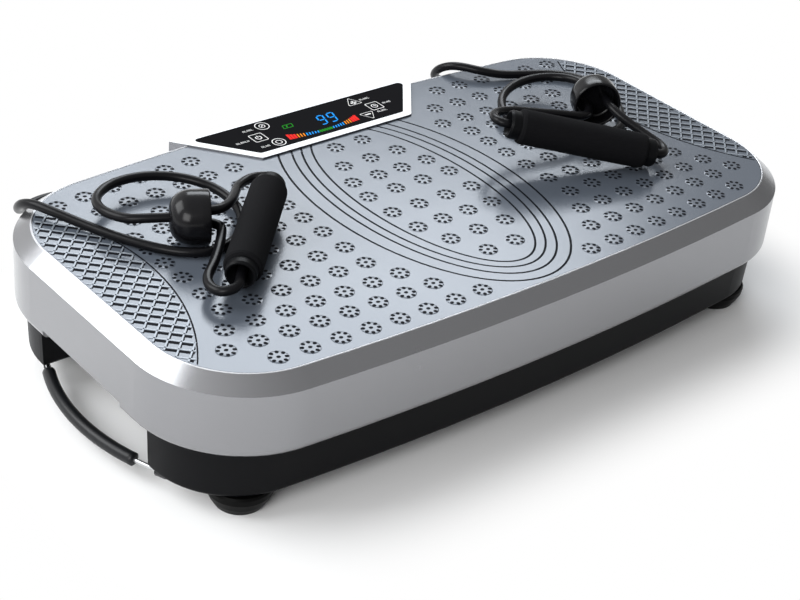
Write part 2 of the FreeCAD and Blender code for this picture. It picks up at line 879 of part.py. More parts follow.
def make_belt():
    """Belt round both pulleys: two arcs and two straight runs, square in section."""
    near = Vector(0, S["crank_height"].value, 0)
    far = Vector(S["motor_y"].value, S["motor_height"].value, 0)
    gap = S["belt_gap"] - S["belt_thickness"]

    def loop(extra):
        big = (S["pulley_radius"] + gap).value + extra
        small = (S["motor_pulley_radius"] + gap).value + extra
        run = far - near
        heading = math.atan2(run.y, run.x)
        spread = math.acos((big - small) / run.Length)

        def on(centre, radius, angle):
            return centre + Vector(radius * math.cos(angle), radius * math.sin(angle), 0)

        top, low = heading + spread, heading - spread
        return Part.Wire(
            [
                Part.LineSegment(on(near, big, top), on(far, small, top)).toShape(),
                Part.Arc(on(far, small, top), on(far, small, heading), on(far, small, low)).toShape(),
                Part.LineSegment(on(far, small, low), on(near, big, low)).toShape(),
                Part.Arc(on(near, big, low), on(near, big, heading + math.pi), on(near, big, top)).toShape(),
            ]
        )

    face = Part.Face(loop(S["belt_thickness"].value)).cut(Part.Face(loop(0)))
    belt = doc.addObject("Part::Feature", "belt")
    belt.Shape = face.extrude(Vector(0, 0, S["belt_width"].value))
    turn = Rotation(Vector(0, 1, 0), Vector(0, 0, 1), Vector(1, 0, 0))
    belt.Placement = Placement(Vector((S["pulley_x"] - S["belt_width"] / 2).value, 0, 0), turn)
    keep(belt, "drive_belt")


def make_motor():
    body = new_body("motor_body")
    sketch = new_sketch(body, "XZ_Plane")
    radius = S["motor_radius"]
    length = S["motor_length"]
    bell = 10
    bore = S["motor_shaft_radius"] + S["crank_gap"]
    polygon(
        sketch,
        [
            (bore, 0),
            (radius - 6, 0),
            (radius - 3, bell - 2),
            (radius - 3, bell),
            (radius, bell),
            (radius, length - bell),
            (radius - 3, length - bell),
            (radius - 3, length - bell + 2),
            (radius - 6, length),
            (0, length),
            (0, S["motor_bore_start"]),
            (bore, S["motor_bore_start"]),
        ],
    )
    revolution(body, sketch)
    body.Placement = along_x(S["motor_start"].value, S["motor_y"].value, S["motor_height"].value)
    keep(body, "motor")
    shaft_start = S["pulley_x"] - S["pulley_width"] / 2 - 2
    start = Vector(shaft_start.value, S["motor_y"].value, S["motor_height"].value)
    keep(
        cylinder("rotor", S["motor_shaft_radius"], S["motor_start"] + 28 - shaft_start, start, X_DIR),
        "motor_shaft",
    )
    middle = S["motor_start"] + S["motor_length"] / 2
    saddle_height = S["motor_height"] - floor_top - S["saddle_drop"]
    saddle_width = (S["motor_radius"] - S["saddle_inset"]) * 2
    saddle_at = Vector(middle.value, S["motor_y"].value, floor_top.value)
    saddle = block("saddle_block", S["saddle_length"], saddle_width, saddle_height, saddle_at)
    bed_start = Vector((middle - S["saddle_length"]).value, S["motor_y"].value, S["motor_height"].value)
    bed = cylinder("saddle_bed", S["motor_radius"], S["saddle_length"] * 2, bed_start, X_DIR)
    keep(cut("saddle", saddle, bed), "motor_saddle")


# --- lower housing and feet ---------------------------------------------------------------------------


def base_plan(body, offset, height):
    sketch = new_sketch(body, "XY_Plane", height)
    plan_outline(
        sketch,
        S["base_half_length"] + offset,
        S["base_half_depth"] + offset,
        S["base_corner"] + offset,
        S["base_crown"] + offset,
    )
    return sketch


def hand_recess(body, growth, low, high):
    """Cuts the hand recess out of both ends, its walls moved inward by a growth."""
    for end in (-1, 1):
        sketch = new_sketch(body, "XY_Plane", high)
        inner = (S["base_half_length"] - S["recess_depth"] - growth) * end
        outer = (S["base_half_length"] + 30) * end
        half = S["recess_half_width"] + growth
        polygon(sketch, [(inner, -half), (outer, -half), (outer, half), (inner, half)])
        pocket(body, sketch, high - low)


def make_lower_housing():
    body = new_body("tub")
    walls = body.newObject("PartDesign::AdditiveLoft", "tub_walls")
    walls.Profile = base_plan(body, ZERO, S["floor_gap"])
    walls.Sections = [base_plan(body, S["base_taper_width"], S["base_top"])]
    walls.Ruled = True
    doc.recompute()
    hand_recess(body, ZERO, S["floor_gap"] - 1, S["base_top"] + 1)
    for x in (-1, 1):
        for y in (-1, 1):
            hole = new_sketch(body, "XY_Plane", floor_top)
            circle(hole, S["foot_x"] * x, S["foot_y"] * y, S["foot_screw"] + S["screw_gap"])
            pocket(body, hole, S["base_wall"] + 1)
    widest_hole = S["foot_screw"].value * 4
    round_edges(
        body,
        lambda edge: lies_at(edge, S["floor_gap"].value) and edge.BoundBox.DiagonalLength > widest_hole,
        S["base_round"],
    )
    hollow = new_body("tub_hollow")
    space = hollow.newObject("PartDesign::AdditiveLoft", "hollow_walls")
    rise = S["base_wall"] / (S["base_top"] - S["floor_gap"])
    space.Profile = base_plan(hollow, S["base_taper_width"] * rise - S["base_wall"], floor_top)
    top_offset = S["base_taper_width"] + S["base_taper_width"] * rise - S["base_wall"]
    space.Sections = [base_plan(hollow, top_offset, S["base_top"] + S["base_wall"])]
    space.Ruled = True
    doc.recompute()
    hand_recess(hollow, S["base_wall"], floor_top - 1, S["base_top"] + S["base_wall"] + 1)
    open_tub = cut("tub_open", body, hollow)
    holes = []
    wall = S["base_half_depth"].value
    for x, half_width, half_height in (
        (S["inlet_x"], S["inlet_half_width"], S["inlet_half_height"]),
        (S["switch_x"], S["switch_half_width"], S["switch_half_height"]),
    ):
        low = (S["inlet_height"] - half_height - S["panel_gap"]).value
        holes.append(
            block(
                "panel_hole",
                (half_width + S["panel_gap"]) * 2,
                20,
                (half_height + S["panel_gap"]) * 2,
                Vector(x.value, wall, low),
            )
        )
    fuse_at = Vector(S["fuse_x"].value, wall - 10, S["inlet_height"].value)
    holes.append(cylinder("fuse_hole", S["fuse_radius"] + S["panel_gap"], 20, fuse_at, Y_DIR))
    ported = cut("tub_ported", open_tub, joined("panel_holes", holes))
    posts = []
    for across in (-1, 1):
        for along in (-1, 1):
            at = Vector(
                (S["power_board_x"] + (S["power_board_half_length"] - 6) * across).value,
                ((S["power_board_half_width"] - 6) * along).value,
                floor_top.value,
            )
            posts.append(cylinder("post", S["post_radius"], S["post_height"], at))
    keep(joined("tub", [ported] + posts), "lower_housing")


def make_feet():
    screws = []
    for x, x_word in ((-1, "left"), (1, "right")):
        for y, y_word in ((-1, "front"), (1, "rear")):
            centre = Vector((S["foot_x"] * x).value, (S["foot_y"] * y).value, 0)
            body = new_body(f"foot_{y_word}_{x_word}")
            sketch = new_sketch(body, "XZ_Plane")
            bore = S["foot_screw"] + S["screw_gap"]
            head = S["foot_head"] + S["screw_gap"]
            belly = S["foot_radius"] * 0.98
            polygon(
                sketch,
                [
                    (bore, S["foot_cup"] + S["foot_head_height"] + 1),
                    (head, S["foot_cup"] + S["foot_head_height"] + 1),
                    (head, S["foot_cup"]),
                    (S["foot_tread"] - 3, 0),
                    (S["foot_tread"], 0),
                    (belly - 3, S["floor_gap"] * 0.3),
                    (belly, S["floor_gap"] * 0.65),
                    (S["foot_radius"], S["floor_gap"] - 2),
                    (S["foot_radius"] - 1, S["floor_gap"]),
                    (bore, S["floor_gap"]),
                ],
            )
            revolution(body, sketch)
            body.Placement.Base = centre
            keep(body, f"foot_{y_word}_{x_word}")
            head_low = (S["foot_cup"] + 1).value
            head_top = (S["foot_cup"] + S["foot_head_height"] + 1).value
            screws.append(
                cylinder("foot_screw_head", S["foot_head"], S["foot_head_height"], centre + Z_DIR * head_low)
            )
            shank = floor_top + 8 - (S["foot_cup"] + S["foot_head_height"] + 1)
            screws.append(cylinder("foot_screw_shank", S["foot_screw"], shank, centre + Z_DIR * head_top))
    keep(joined("foot_screw_set", screws), "foot_screws")


def make_rear_panel():
    wall = (S["base_half_depth"] + S["base_taper_width"]).value - 1.4
    height = S["inlet_height"].value
    lap = S["panel_lap"]

    def socket(name, x, half_width, half_height, depth):
        flange = block(
            name + "_flange",
            (half_width + lap) * 2,
            S["panel_flange"],
            (half_height + lap) * 2,
            Vector(x.value, wall + S["panel_flange"].value / 2, height - (half_height + lap).value),
        )
        body = block(
            name + "_body",
            half_width * 2,
            depth,
            half_height * 2,
            Vector(x.value, wall - as_size(depth).value / 2, height - half_height.value),
        )
        return joined(name + "_solid", [flange, body])

    inlet = socket("inlet", S["inlet_x"], S["inlet_half_width"], S["inlet_half_height"], S["inlet_depth"])
    well = block(
        "inlet_well",
        S["inlet_half_width"] * 2 - 3,
        20,
        S["inlet_half_height"] * 2 - 3,
        Vector(S["inlet_x"].value, wall, height - S["inlet_half_height"].value + 1.5),
    )
    pins = []
    for step, rise in ((-7, 2), (0, -2), (7, 2)):
        at = Vector(S["inlet_x"].value + step, wall - 3.5, height + rise - 2)
        pins.append(block("inlet_pin", 2, 13, 4, at))
    keep(cut("inlet_open", inlet, well), "inlet_socket")
    keep(joined("pins_set", pins), "inlet_pins")
    frame = socket("switch", S["switch_x"], S["switch_half_width"], S["switch_half_height"], 18)
    gap = S["panel_gap"].value
    slot_half_width = S["switch_half_width"] - 1.5
    slot_half_height = S["switch_half_height"] - 1.5
    slot = block(
        "switch_slot",
        slot_half_width * 2,
        20,
        slot_half_height * 2,
        Vector(S["switch_x"].value, wall, height - slot_half_height.value),
    )
    axle_at = Vector(S["switch_x"].value, wall - 1.6, height)
    axle_half = slot_half_width + 1.0
    bearing = cylinder(
        "axle_bearing",
        S["axle_radius"] + S["crank_gap"],
        axle_half * 2 + 0.4,
        axle_at - X_DIR * (axle_half.value + 0.2),
        X_DIR,
    )
    keep(cut("switch_open", frame, joined("switch_hollow", [slot, bearing])), "switch_frame")
    rocker = new_body("rocker")
    sketch = new_sketch(rocker, "YZ_Plane", S["switch_x"] - slot_half_width + 0.4)
    reach = slot_half_height.value - 1.2
    face = wall + S["panel_flange"].value
    polygon(
        sketch,
        [
            (face - 6, height - reach + 1.5),
            (face - 0.6, height - reach),
            (face + 0.8, height),
            (face + 2.6, height + reach - 0.6),
            (face - 6, height + reach - 1.5),
        ],
    )
    pad(rocker, sketch, slot_half_width * 2 - 0.8)
    axle = cylinder("axle", S["axle_radius"], axle_half * 2, axle_at - X_DIR * axle_half.value, X_DIR)
    keep(joined("rocker_set", [rocker, axle]), "switch_rocker")
    cap = cylinder("fuse_cap", S["fuse_radius"] + 2, 4, Vector(S["fuse_x"].value, wall, height), Y_DIR)
    barrel_at = Vector(S["fuse_x"].value, wall - S["fuse_length"].value, height)
    barrel = cylinder("fuse_barrel", S["fuse_radius"], S["fuse_length"], barrel_at, Y_DIR)
    keep(joined("fuse", [cap, barrel]), "fuse_holder")


def make_power_board():
    x = S["power_board_x"].value
    half_length = S["power_board_half_length"]
    half_width = S["power_board_half_width"]
    base = floor_top.value
    board_low = base + S["post_height"].value
    board_middle = Vector(x, 0, board_low)
    board = block("power_plate", half_length * 2, half_width * 2, S["board_thickness"], board_middle)
    keep(board, "power_board")
    top = board_low + S["board_thickness"].value
    capacitors = []
    for y in (-0.5, 0.05):
        at = Vector(x + half_length.value * 0.56, half_width.value * y, top)
        capacitors.append(cylinder("capacitor", S["capacitor_radius"], S["capacitor_height"], at))
    choke_at = Vector(x - half_length.value * 0.36, -half_width.value * 0.49, top)
    choke = block("choke_core", S["choke_length"], S["choke_width"], S["choke_height"], choke_at)
    keep(joined("component_set", capacitors + [choke]), "board_components")
    sink_at = Vector(x - half_length.value * 0.32, half_width.value * 0.49, top)
    fins = [block("sink_plate", S["sink_length"], S["sink_width"], S["sink_base"], sink_at)]
    spread = (S["sink_width"] - S["fin_thickness"]).value
    for k in range(5):
        at = sink_at + Vector(0, spread * (k - 2) / 4, S["sink_base"].value)
        fins.append(block("sink_fin", S["sink_length"], S["fin_thickness"], S["fin_height"], at))
    keep(joined("sink", fins), "heat_sink")


# --- carry handles --------------------------------------------------------------------------------------


def make_handles():
    clamps = []
    for end, word in ((-1, "left"), (1, "right")):
        span = S["handle_half_span"].value
        sag = (S["handle_mid_x"] - S["handle_end_x"]).value
        bow = (span**2 + sag**2) / (2 * sag)
        centre_x = S["handle_mid_x"].value - bow
        height = S["handle_height"].value

        def at(angle, centre_x=centre_x, bow=bow, end=end, height=height):
            x = centre_x + bow * math.cos(angle)
            return Vector(end * x, bow * math.sin(angle), height)

        full = math.asin(span / bow)
        tail = S["handle_tail"].value
        lean = Vector(-end * math.sin(full), math.cos(full), 0)
        front_lean = Vector(lean.x, -lean.y, 0)
        tips = [at(-full) + front_lean * tail, at(full) + lean * tail]
        path = Part.Wire(
            [
                Part.LineSegment(tips[0], at(-full)).toShape(),
                Part.Arc(at(-full), at(0), at(full)).toShape(),
                Part.LineSegment(at(full), tips[1]).toShape(),
            ]
        )
        wire = doc.addObject("Part::Feature", f"handle_wire_{word}")
        wire.Shape = sweep_round(path, S["handle_wire_radius"].value)
        keep(wire, f"handle_wire_{word}")
        part = math.asin(S["handle_grip_half"].value / bow)
        grip_path = Part.Wire([Part.Arc(at(-part), at(0), at(part)).toShape()])
        outer = sweep_round(grip_path, S["handle_grip_radius"].value)
        inner = sweep_round(grip_path, S["handle_wire_radius"].value)
        grip = doc.addObject("Part::Feature", f"handle_grip_{word}")
        grip.Shape = outer.cut(inner)
        keep(grip, f"handle_grip_{word}")
        for tip, way in zip(tips, (front_lean, lean)):
            plate_low = height - S["handle_wire_radius"].value - S["clamp_thickness"].value
            middle = tip - way * (S["clamp_size"].value / 2)
            clamp = block("clamp", S["clamp_size"], S["clamp_size"], S["clamp_thickness"], Vector(0, 0, 0))
            turn = Rotation(Z_DIR, math.degrees(math.atan2(way.y, way.x)))
            half = S["clamp_size"].value / 2
            corner = turn.multVec(Vector(-half, -half, 0))
            clamp.Placement = Placement(Vector(middle.x, middle.y, plate_low) + corner, turn)
            clamps.append(clamp)
    keep(joined("clamp_set", clamps), "handle_clamps")


def sweep_round(path, radius):
    """Round bar along a path."""
    first = path.Edges[0]
    start = first.valueAt(first.FirstParameter)
    heading = first.tangentAt(first.FirstParameter)
    profile = Part.Wire([Part.Circle(start, heading, radius).toShape()])
    return path.makePipeShell([profile], True, False)


# --- bands, grips and their anchors --------------------------------------------------------------------


def rounded_path(points):
    """Straight runs joined by tangent arcs, each arc as large as its two runs allow."""
    points = [Vector(*point) for point in points]
    edges = []
    radii = []
    here = points[0]
    for before, corner, after in zip(points, points[1:], points[2:]):
        arrive = (corner - before).normalize()
        leave = (after - corner).normalize()
        turn = arrive.getAngle(leave)
        setback = 0.45 * min((corner - before).Length, (after - corner).Length)
        radius = setback / math.tan(turn / 2)
        start = corner - arrive * setback
        end = corner + leave * setback
        bisector = (leave - arrive).normalize()
        depth = radius / math.cos(turn / 2) - radius
        edges.append(Part.LineSegment(here, start).toShape())
        edges.append(Part.Arc(start, corner + bisector * depth, end).toShape())
        radii.append(radius)
        here = end
    edges.append(Part.LineSegment(here, points[-1]).toShape())
    return Part.Wire(edges), radii


def cord(name, points):
    path, radii = rounded_path(points)
    radius = S["cord_radius"].value
    item = doc.addObject("Part::Feature", name)
    item.Shape = sweep_round(path, radius)
    expected = math.pi * radius**2 * path.Length
    print(
        f"{name}: length {path.Length:.1f}, volume / expected {item.Shape.Volume / expected:.4f},"
        f" smallest radius {min(radii):.1f}, radii {[round(value) for value in radii]}"
    )
    return keep(item, name)


BAND_ROUTES = {
    "band_left": [
        (-232, 179.25, 89),
        (-232.2, 179.6, 99),
        (-242, 183.5, 106),
        (-259, 183, 107),
        (-277, 176, 109),
        (-289, 166, 114),
        (-295, 156, 124),
        (-297, 145, 133),
        (-294.5, 131, 138.6),
        (-288, 113, 138.8),
        (-277, 90, 136.6),
        (-266, 65, 135.6),
        (-251, 36, 135.6),
        (-233, 12, 135.6),
        (-210, 0, 135.6),
        (-184, 6, 135.6),
        (-164, 26, 136),
        (-153, 52, 137),
        (-156, 80, 140),
        (-174, 104, 143),
        (-202, 118, 145),
        (-232, 118, 146),
        (-256, 103, 147),
        (-264, 80, 149),
        (-257, 56, 151),
        (-243.5, 45.9, 152.9),
        (-228.2, 37, 153.5),
    ],
    "band_right": [
        (232, 179.25, 89),
        (231.8, 179.6, 99),
        (222, 183.5, 106),
        (204, 186, 107),
        (187, 188, 110),
        (175, 185, 119),
        (171, 175, 131),
        (175, 163, 138.6),
        (182, 152, 140.4),
        (191, 140, 139.6),
        (208, 126, 136.6),
        (232, 117, 135.6),
        (258, 104, 135.6),
        (275, 82, 135.6),
        (278, 56, 135.6),
        (270, 32, 135.6),
        (256, 10, 135.6),
        (234, -13, 135.6),
        (200, -16, 135.6),
        (166, 1, 136),
        (147, 27, 138),
        (147, 56, 141),
        (165, 80, 144),
        (192, 91, 146),
        (220, 88, 148),
        (238, 72, 150.5),
        (242.6, 48.3, 153.4),
        (235, 35.2, 153.6),
    ],
    "loop_left": [
        (-214.9, 24.4, 161.2),
        (-199.3, 15.4, 161.5),
        (-180, 24, 158),
        (-162, 42, 153),
        (-148, 58, 149),
        (-128, 66, 148),
        (-117, 50, 153),
        (-134, 33, 155.7),
        (-157, 10.5, 153.6),
        (-178.5, -10.5, 151.6),
        (-200, -31.5, 150.6),
        (-224, -54.9, 150.3),
        (-235, -68, 147.5),
        (-250, -62, 144.5),
        (-248, -42, 144),
        (-226, -24, 145),
        (-204, 0, 146),
        (-189.7, 19.6, 147),
        (-210.4, 31.6, 146.5),
    ],
    "loop_right": [
        (219.6, 23.3, 149.3),
        (210.5, 7.7, 149.6),
        (192, -2, 153),
        (166, 7, 158),
        (140, 18, 162),
        (116, 24, 167),
        (95, 19, 171),
        (85.7, 2.3, 173.1),
        (102.2, -8.3, 169.4),
        (126, -23.7, 163),
        (150.5, -39.5, 157),
        (175, -55.3, 151.8),
        (198.9, -70.7, 147.6),
        (215.4, -81.3, 143.8),
        (229, -69, 143),
        (226, -46, 147),
        (221, -22, 153),
        (221.2, -3.1, 157.9),
        (232.3, 15.9, 157.9),
    ],
}

GRIPS = {
    "left": {"middle": (-178.5, -10.5, 153.0), "way": (85, 83, 5)},
    "right": {"middle": (150.5, -39.5, 158.5), "way": (-93, 60, 21)},
}

STOPPERS = {
    "left": {"apex": (-223, 34, 153.6), "way": (0.86, -0.5, 0.02)},
    "right": {"apex": (232, 30, 153.6), "way": (-0.5, -0.86, 0.0)},
}


def unit(values):
    return Vector(*values).normalize()


def place_along(item, start, way):
    item.Placement = Placement(start, Rotation(Z_DIR, way))


def make_stopper(word):
    apex = Vector(*STOPPERS[word]["apex"])
    way = unit(STOPPERS[word]["way"])
    radius = S["stopper_radius"]
    depth = S["stopper_depth"]
    cup = S["stopper_cup"]
    inner = radius - S["stopper_wall"]
    body = new_body(f"stopper_{word}")
    sketch = new_sketch(body, "XZ_Plane")
    polygon(
        sketch,
        [
            (0, 0),
            (S["cord_radius"] + 1.5, 0),
            (radius * 0.42, 0.8),
            (radius * 0.7, 4.2),
            (radius * 0.9, 9.6),
            (radius, 17),
            (radius, depth - 1.5),
            (radius - 1.5, depth),
            (inner, depth),
            (inner, depth - cup),
            (0, depth - cup),
        ],
    )
    revolution(body, sketch)
    place_along(body, apex - way * 6, way)
    keep(body, f"stopper_{word}")


def make_grip(word):
    middle = Vector(*GRIPS[word]["middle"])
    way = unit(GRIPS[word]["way"])
    length = S["foam_length"]
    foam = new_body(f"foam_{word}")
    sketch = new_sketch(foam, "XZ_Plane")
    inner = S["core_radius"] + S["core_gap"]
    soft = S["foam_round"]
    half = length / 2
    outer = S["foam_radius"]
    polygon(
        sketch,
        [
            (inner, -half),
            (outer - soft, -half),
            (outer - soft * 0.3, -half + soft * 0.3),
            (outer, -half + soft),
            (outer, half - soft),
            (outer - soft * 0.3, half - soft * 0.3),
            (outer - soft, half),
            (inner, half),
        ],
    )
    revolution(foam, sketch)
    place_along(foam, middle, way)
    keep(foam, f"foam_grip_{word}")
    core = new_body(f"core_{word}")
    sketch = new_sketch(core, "XZ_Plane")
    near = half + S["core_gap"]
    far = near + S["collar_length"]
    bore = S["core_bore"]
    polygon(
        sketch,
        [
            (bore + S["collar_flare"], -far),
            (S["collar_radius"] - 1, -far),
            (S["collar_radius"], -far + 2),
            (S["collar_radius"], -near),
            (S["core_radius"], -near),
            (S["core_radius"], near),
            (S["collar_radius"], near),
            (S["collar_radius"], far - 2),
            (S["collar_radius"] - 1, far),
            (bore + S["collar_flare"], far),
            (bore, near),
            (bore, -near),
        ],
    )
    revolution(core, sketch)
    place_along(core, middle, way)
    keep(core, f"grip_core_{word}")


def make_anchor(end, word):
    """Tab under the hem of the shell, and the ring and ferrule that hang the band from it."""
    x = (S["tab_x"] * end).value
    crown = (S["mat_crown"] + S["rim_width"]).value
    edge_y = (S["mat_half_depth"] + S["rim_width"]).value - crown + math.sqrt(crown**2 - x**2)
    hole_y = edge_y + S["tab_reach"].value
    thickness = S["tab_thickness"].value
    low = S["skirt_bottom"].value - thickness
    inside = edge_y - S["hem_lip"].value - S["tab_relief"].value
    fold = S["tab_fold"].value
    strip_width = hole_y - inside + fold
    strip_y = (hole_y + inside - fold) / 2
    strip = block("tab_strip", S["tab_width"], strip_width, thickness, Vector(x, strip_y, low))
    upstand = block(
        "tab_upstand", S["tab_width"], fold, S["tab_upstand"], Vector(x, inside - fold / 2, low)
    )
    nose = cylinder("tab_nose", S["tab_width"] / 2, thickness, Vector(x, hole_y, low))
    hole = cylinder("tab_hole", S["tab_hole"], thickness + 2, Vector(x, hole_y, low - 1))
    keep(cut("tab", joined("tab_plate", [strip, upstand, nose]), hole), f"band_tab_{word}")
    eye = doc.addObject("Part::Torus", "hook_eye")
    bind(eye, "Radius1", S["hook_ring"])
    bind(eye, "Radius2", S["hook_wire"])
    middle = Vector(x, hole_y + S["hook_ring"].value, low + thickness / 2)
    eye.Placement = Placement(middle, Rotation(Z_DIR, X_DIR))
    ferrule_low = middle + Z_DIR * S["hook_ring"].value
    ferrule = cylinder("ferrule", S["ferrule_radius"], S["ferrule_length"], ferrule_low)
    keep(joined("hook", [eye, ferrule]), f"band_hook_{word}")
    top = ferrule_low + Z_DIR * S["ferrule_length"].value
    print(f"band_{word} starts at", [round(value, 2) for value in top])


def finish():
    doc.recompute()
    for item in doc.Objects:
        if "Invalid" in item.State or "Error" in item.State:
            raise RuntimeError(f"{item.Label} failed: {item.State}")
    os.makedirs("parts", exist_ok=True)
    for item in PARTS:
        shape = item.Shape
        if shape.isNull() or not shape.isValid():
            raise RuntimeError(f"{item.Label} has no valid shape")
        shape.exportStep(os.path.join("parts", item.Label + ".step"))
    print(f"{len(PARTS)} parts written")


make_top_shell()
make_mat()
make_console()
make_deck_plate()
make_pivot()
make_crank()
make_rods()
make_pulleys()
make_belt()
make_motor()
make_lower_housing()
make_feet()
make_rear_panel()
make_power_board()
make_handles()
for end, word in ((-1, "left"), (1, "right")):
    make_anchor(end, word)
    make_grip(word)
    make_stopper(word)
for name, points in BAND_ROUTES.items():
    cord(name, points)
finish()
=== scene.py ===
import json
import math

import bpy
from mathutils import Matrix, Vector


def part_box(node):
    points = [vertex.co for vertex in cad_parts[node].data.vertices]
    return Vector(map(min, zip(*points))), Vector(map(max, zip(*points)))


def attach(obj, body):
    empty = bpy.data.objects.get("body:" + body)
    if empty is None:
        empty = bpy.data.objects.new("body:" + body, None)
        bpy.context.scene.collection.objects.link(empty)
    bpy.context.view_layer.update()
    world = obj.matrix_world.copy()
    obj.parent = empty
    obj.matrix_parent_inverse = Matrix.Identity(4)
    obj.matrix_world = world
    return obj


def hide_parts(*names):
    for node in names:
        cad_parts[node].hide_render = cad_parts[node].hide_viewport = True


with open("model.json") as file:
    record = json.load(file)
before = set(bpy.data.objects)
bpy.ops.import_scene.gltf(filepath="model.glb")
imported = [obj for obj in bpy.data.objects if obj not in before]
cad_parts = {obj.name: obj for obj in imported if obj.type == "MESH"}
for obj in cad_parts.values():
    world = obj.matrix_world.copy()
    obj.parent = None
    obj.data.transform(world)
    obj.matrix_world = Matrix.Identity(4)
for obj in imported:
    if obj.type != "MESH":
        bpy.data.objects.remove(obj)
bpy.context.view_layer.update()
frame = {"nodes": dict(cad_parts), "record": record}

MM = 0.001


def box_mm(node):
    """Lowest and highest corner of a CAD node, in millimetres."""
    return [[round(value / MM, 2) for value in corner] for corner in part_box(node)]


# All sizes and places below are in millimetres, unless a comment says otherwise.

# pocket of the mat: its corners are arcs, and its long sides bow on a large radius
MAT_GAP = 0.3
MAT_HALF_LENGTH = box_mm("mat")[1][0] + MAT_GAP
MAT_HALF_DEPTH = MAT_GAP - box_mm("mat")[0][1]
MAT_TOP = box_mm("mat")[1][2]
MAT_CORNER = 80.0
MAT_CORNER_Y = 75.1
MAT_CROWN = 2900.0

# console window, wider at its back
WINDOW_FRONT = box_mm("console_window")[0][1]
WINDOW_BACK_HALF, WINDOW_BACK, WINDOW_TOP = box_mm("console_window")[1]
WINDOW_FRONT_HALF = 80.0


# --- camera ---------------------------------------------------------------------------------------

CAMERA_PLACE = Vector((-0.9014, -0.9653, 0.8574))  # metres
CAMERA_HEADING = Vector((0.679, 0.734, 0))
CAMERA_TILT = math.radians(32.42)
CAMERA_ROLL = math.radians(6.01)
CAMERA_LENS = 79.64


def make_camera():
    upward = Vector((0, 0, 1))
    forward = CAMERA_HEADING.normalized() * math.cos(CAMERA_TILT) - upward * math.sin(CAMERA_TILT)
    level = forward.cross(upward).normalized()
    over = level.cross(forward)
    right = level * math.cos(CAMERA_ROLL) + over * math.sin(CAMERA_ROLL)
    up = over * math.cos(CAMERA_ROLL) - level * math.sin(CAMERA_ROLL)
    data = bpy.data.cameras.new("camera")
    data.sensor_width = 36
    data.lens = CAMERA_LENS
    data.clip_start = 0.05
    camera = bpy.data.objects.new("camera", data)
    bpy.context.scene.collection.objects.link(camera)
    turn = Matrix((right, up, -forward)).transposed().to_4x4()
    camera.matrix_world = Matrix.Translation(CAMERA_PLACE) @ turn
    bpy.context.scene.camera = camera


make_camera()


# --- shader nodes ---------------------------------------------------------------------------------

def feed(tree, source, target):
    """Joins a socket to a node's input, or sets the input to a plain number."""
    if isinstance(source, bpy.types.NodeSocket):
        tree.links.new(source, target)
    else:
        target.default_value = source


def math_node(tree, operation, first, second):
    node = tree.nodes.new("ShaderNodeMath")
    node.operation = operation
    feed(tree, first, node.inputs[0])
    feed(tree, second, node.inputs[1])
    return node.outputs["Value"]


def vector_node(tree, operation, vector, values=(0, 0, 0)):
    node = tree.nodes.new("ShaderNodeVectorMath")
    node.operation = operation
    node.inputs[1].default_value = values
    tree.links.new(vector, node.inputs[0])
    return node


def range_node(tree, value, given, wanted=(0.0, 1.0), smooth=False):
    """Carries a value from the given range over to the wanted one, and holds it at both ends."""
    node = tree.nodes.new("ShaderNodeMapRange")
    if smooth:
        node.interpolation_type = "SMOOTHSTEP"
    tree.links.new(value, node.inputs["Value"])
    feed(tree, given[0], node.inputs["From Min"])
    feed(tree, given[1], node.inputs["From Max"])
    feed(tree, wanted[0], node.inputs["To Min"])
    feed(tree, wanted[1], node.inputs["To Max"])
    return node.outputs["Result"]


def noise_node(tree, place, scale, detail):
    node = tree.nodes.new("ShaderNodeTexNoise")
    node.inputs["Scale"].default_value = scale
    node.inputs["Detail"].default_value = detail
    tree.links.new(place, node.inputs["Vector"])
    return node.outputs["Fac"]


def height_of(tree, direction):
    """The upward part of a direction."""
    node = tree.nodes.new("ShaderNodeSeparateXYZ")
    tree.links.new(direction, node.inputs["Vector"])
    return node.outputs["Z"]


# --- materials ------------------------------------------------------------------------------------

SHEEN_SCALE = 9
GRAIN_DEPTH = 0.0004  # metres
UPRIGHT_BELOW = 0.6


def paint_wall_shade(tree, color, wall_shade):
    """The colour on faces that look up, and on upright faces a dark colour of painted shade, the shade in
    grooves and pockets.
    """
    surface = tree.nodes.new("ShaderNodeNewGeometry")
    upward = height_of(tree, surface.outputs["True Normal"])
    facing_up = math_node(tree, "GREATER_THAN", upward, UPRIGHT_BELOW)
    blend = tree.nodes.new("ShaderNodeMix")
    blend.data_type = "RGBA"
    blend.inputs["A"].default_value = (*wall_shade, 1)
    blend.inputs["B"].default_value = (*color, 1)
    tree.links.new(facing_up, blend.inputs["Factor"])
    tree.links.new(blend.outputs["Result"], tree.nodes["Principled BSDF"].inputs["Base Color"])


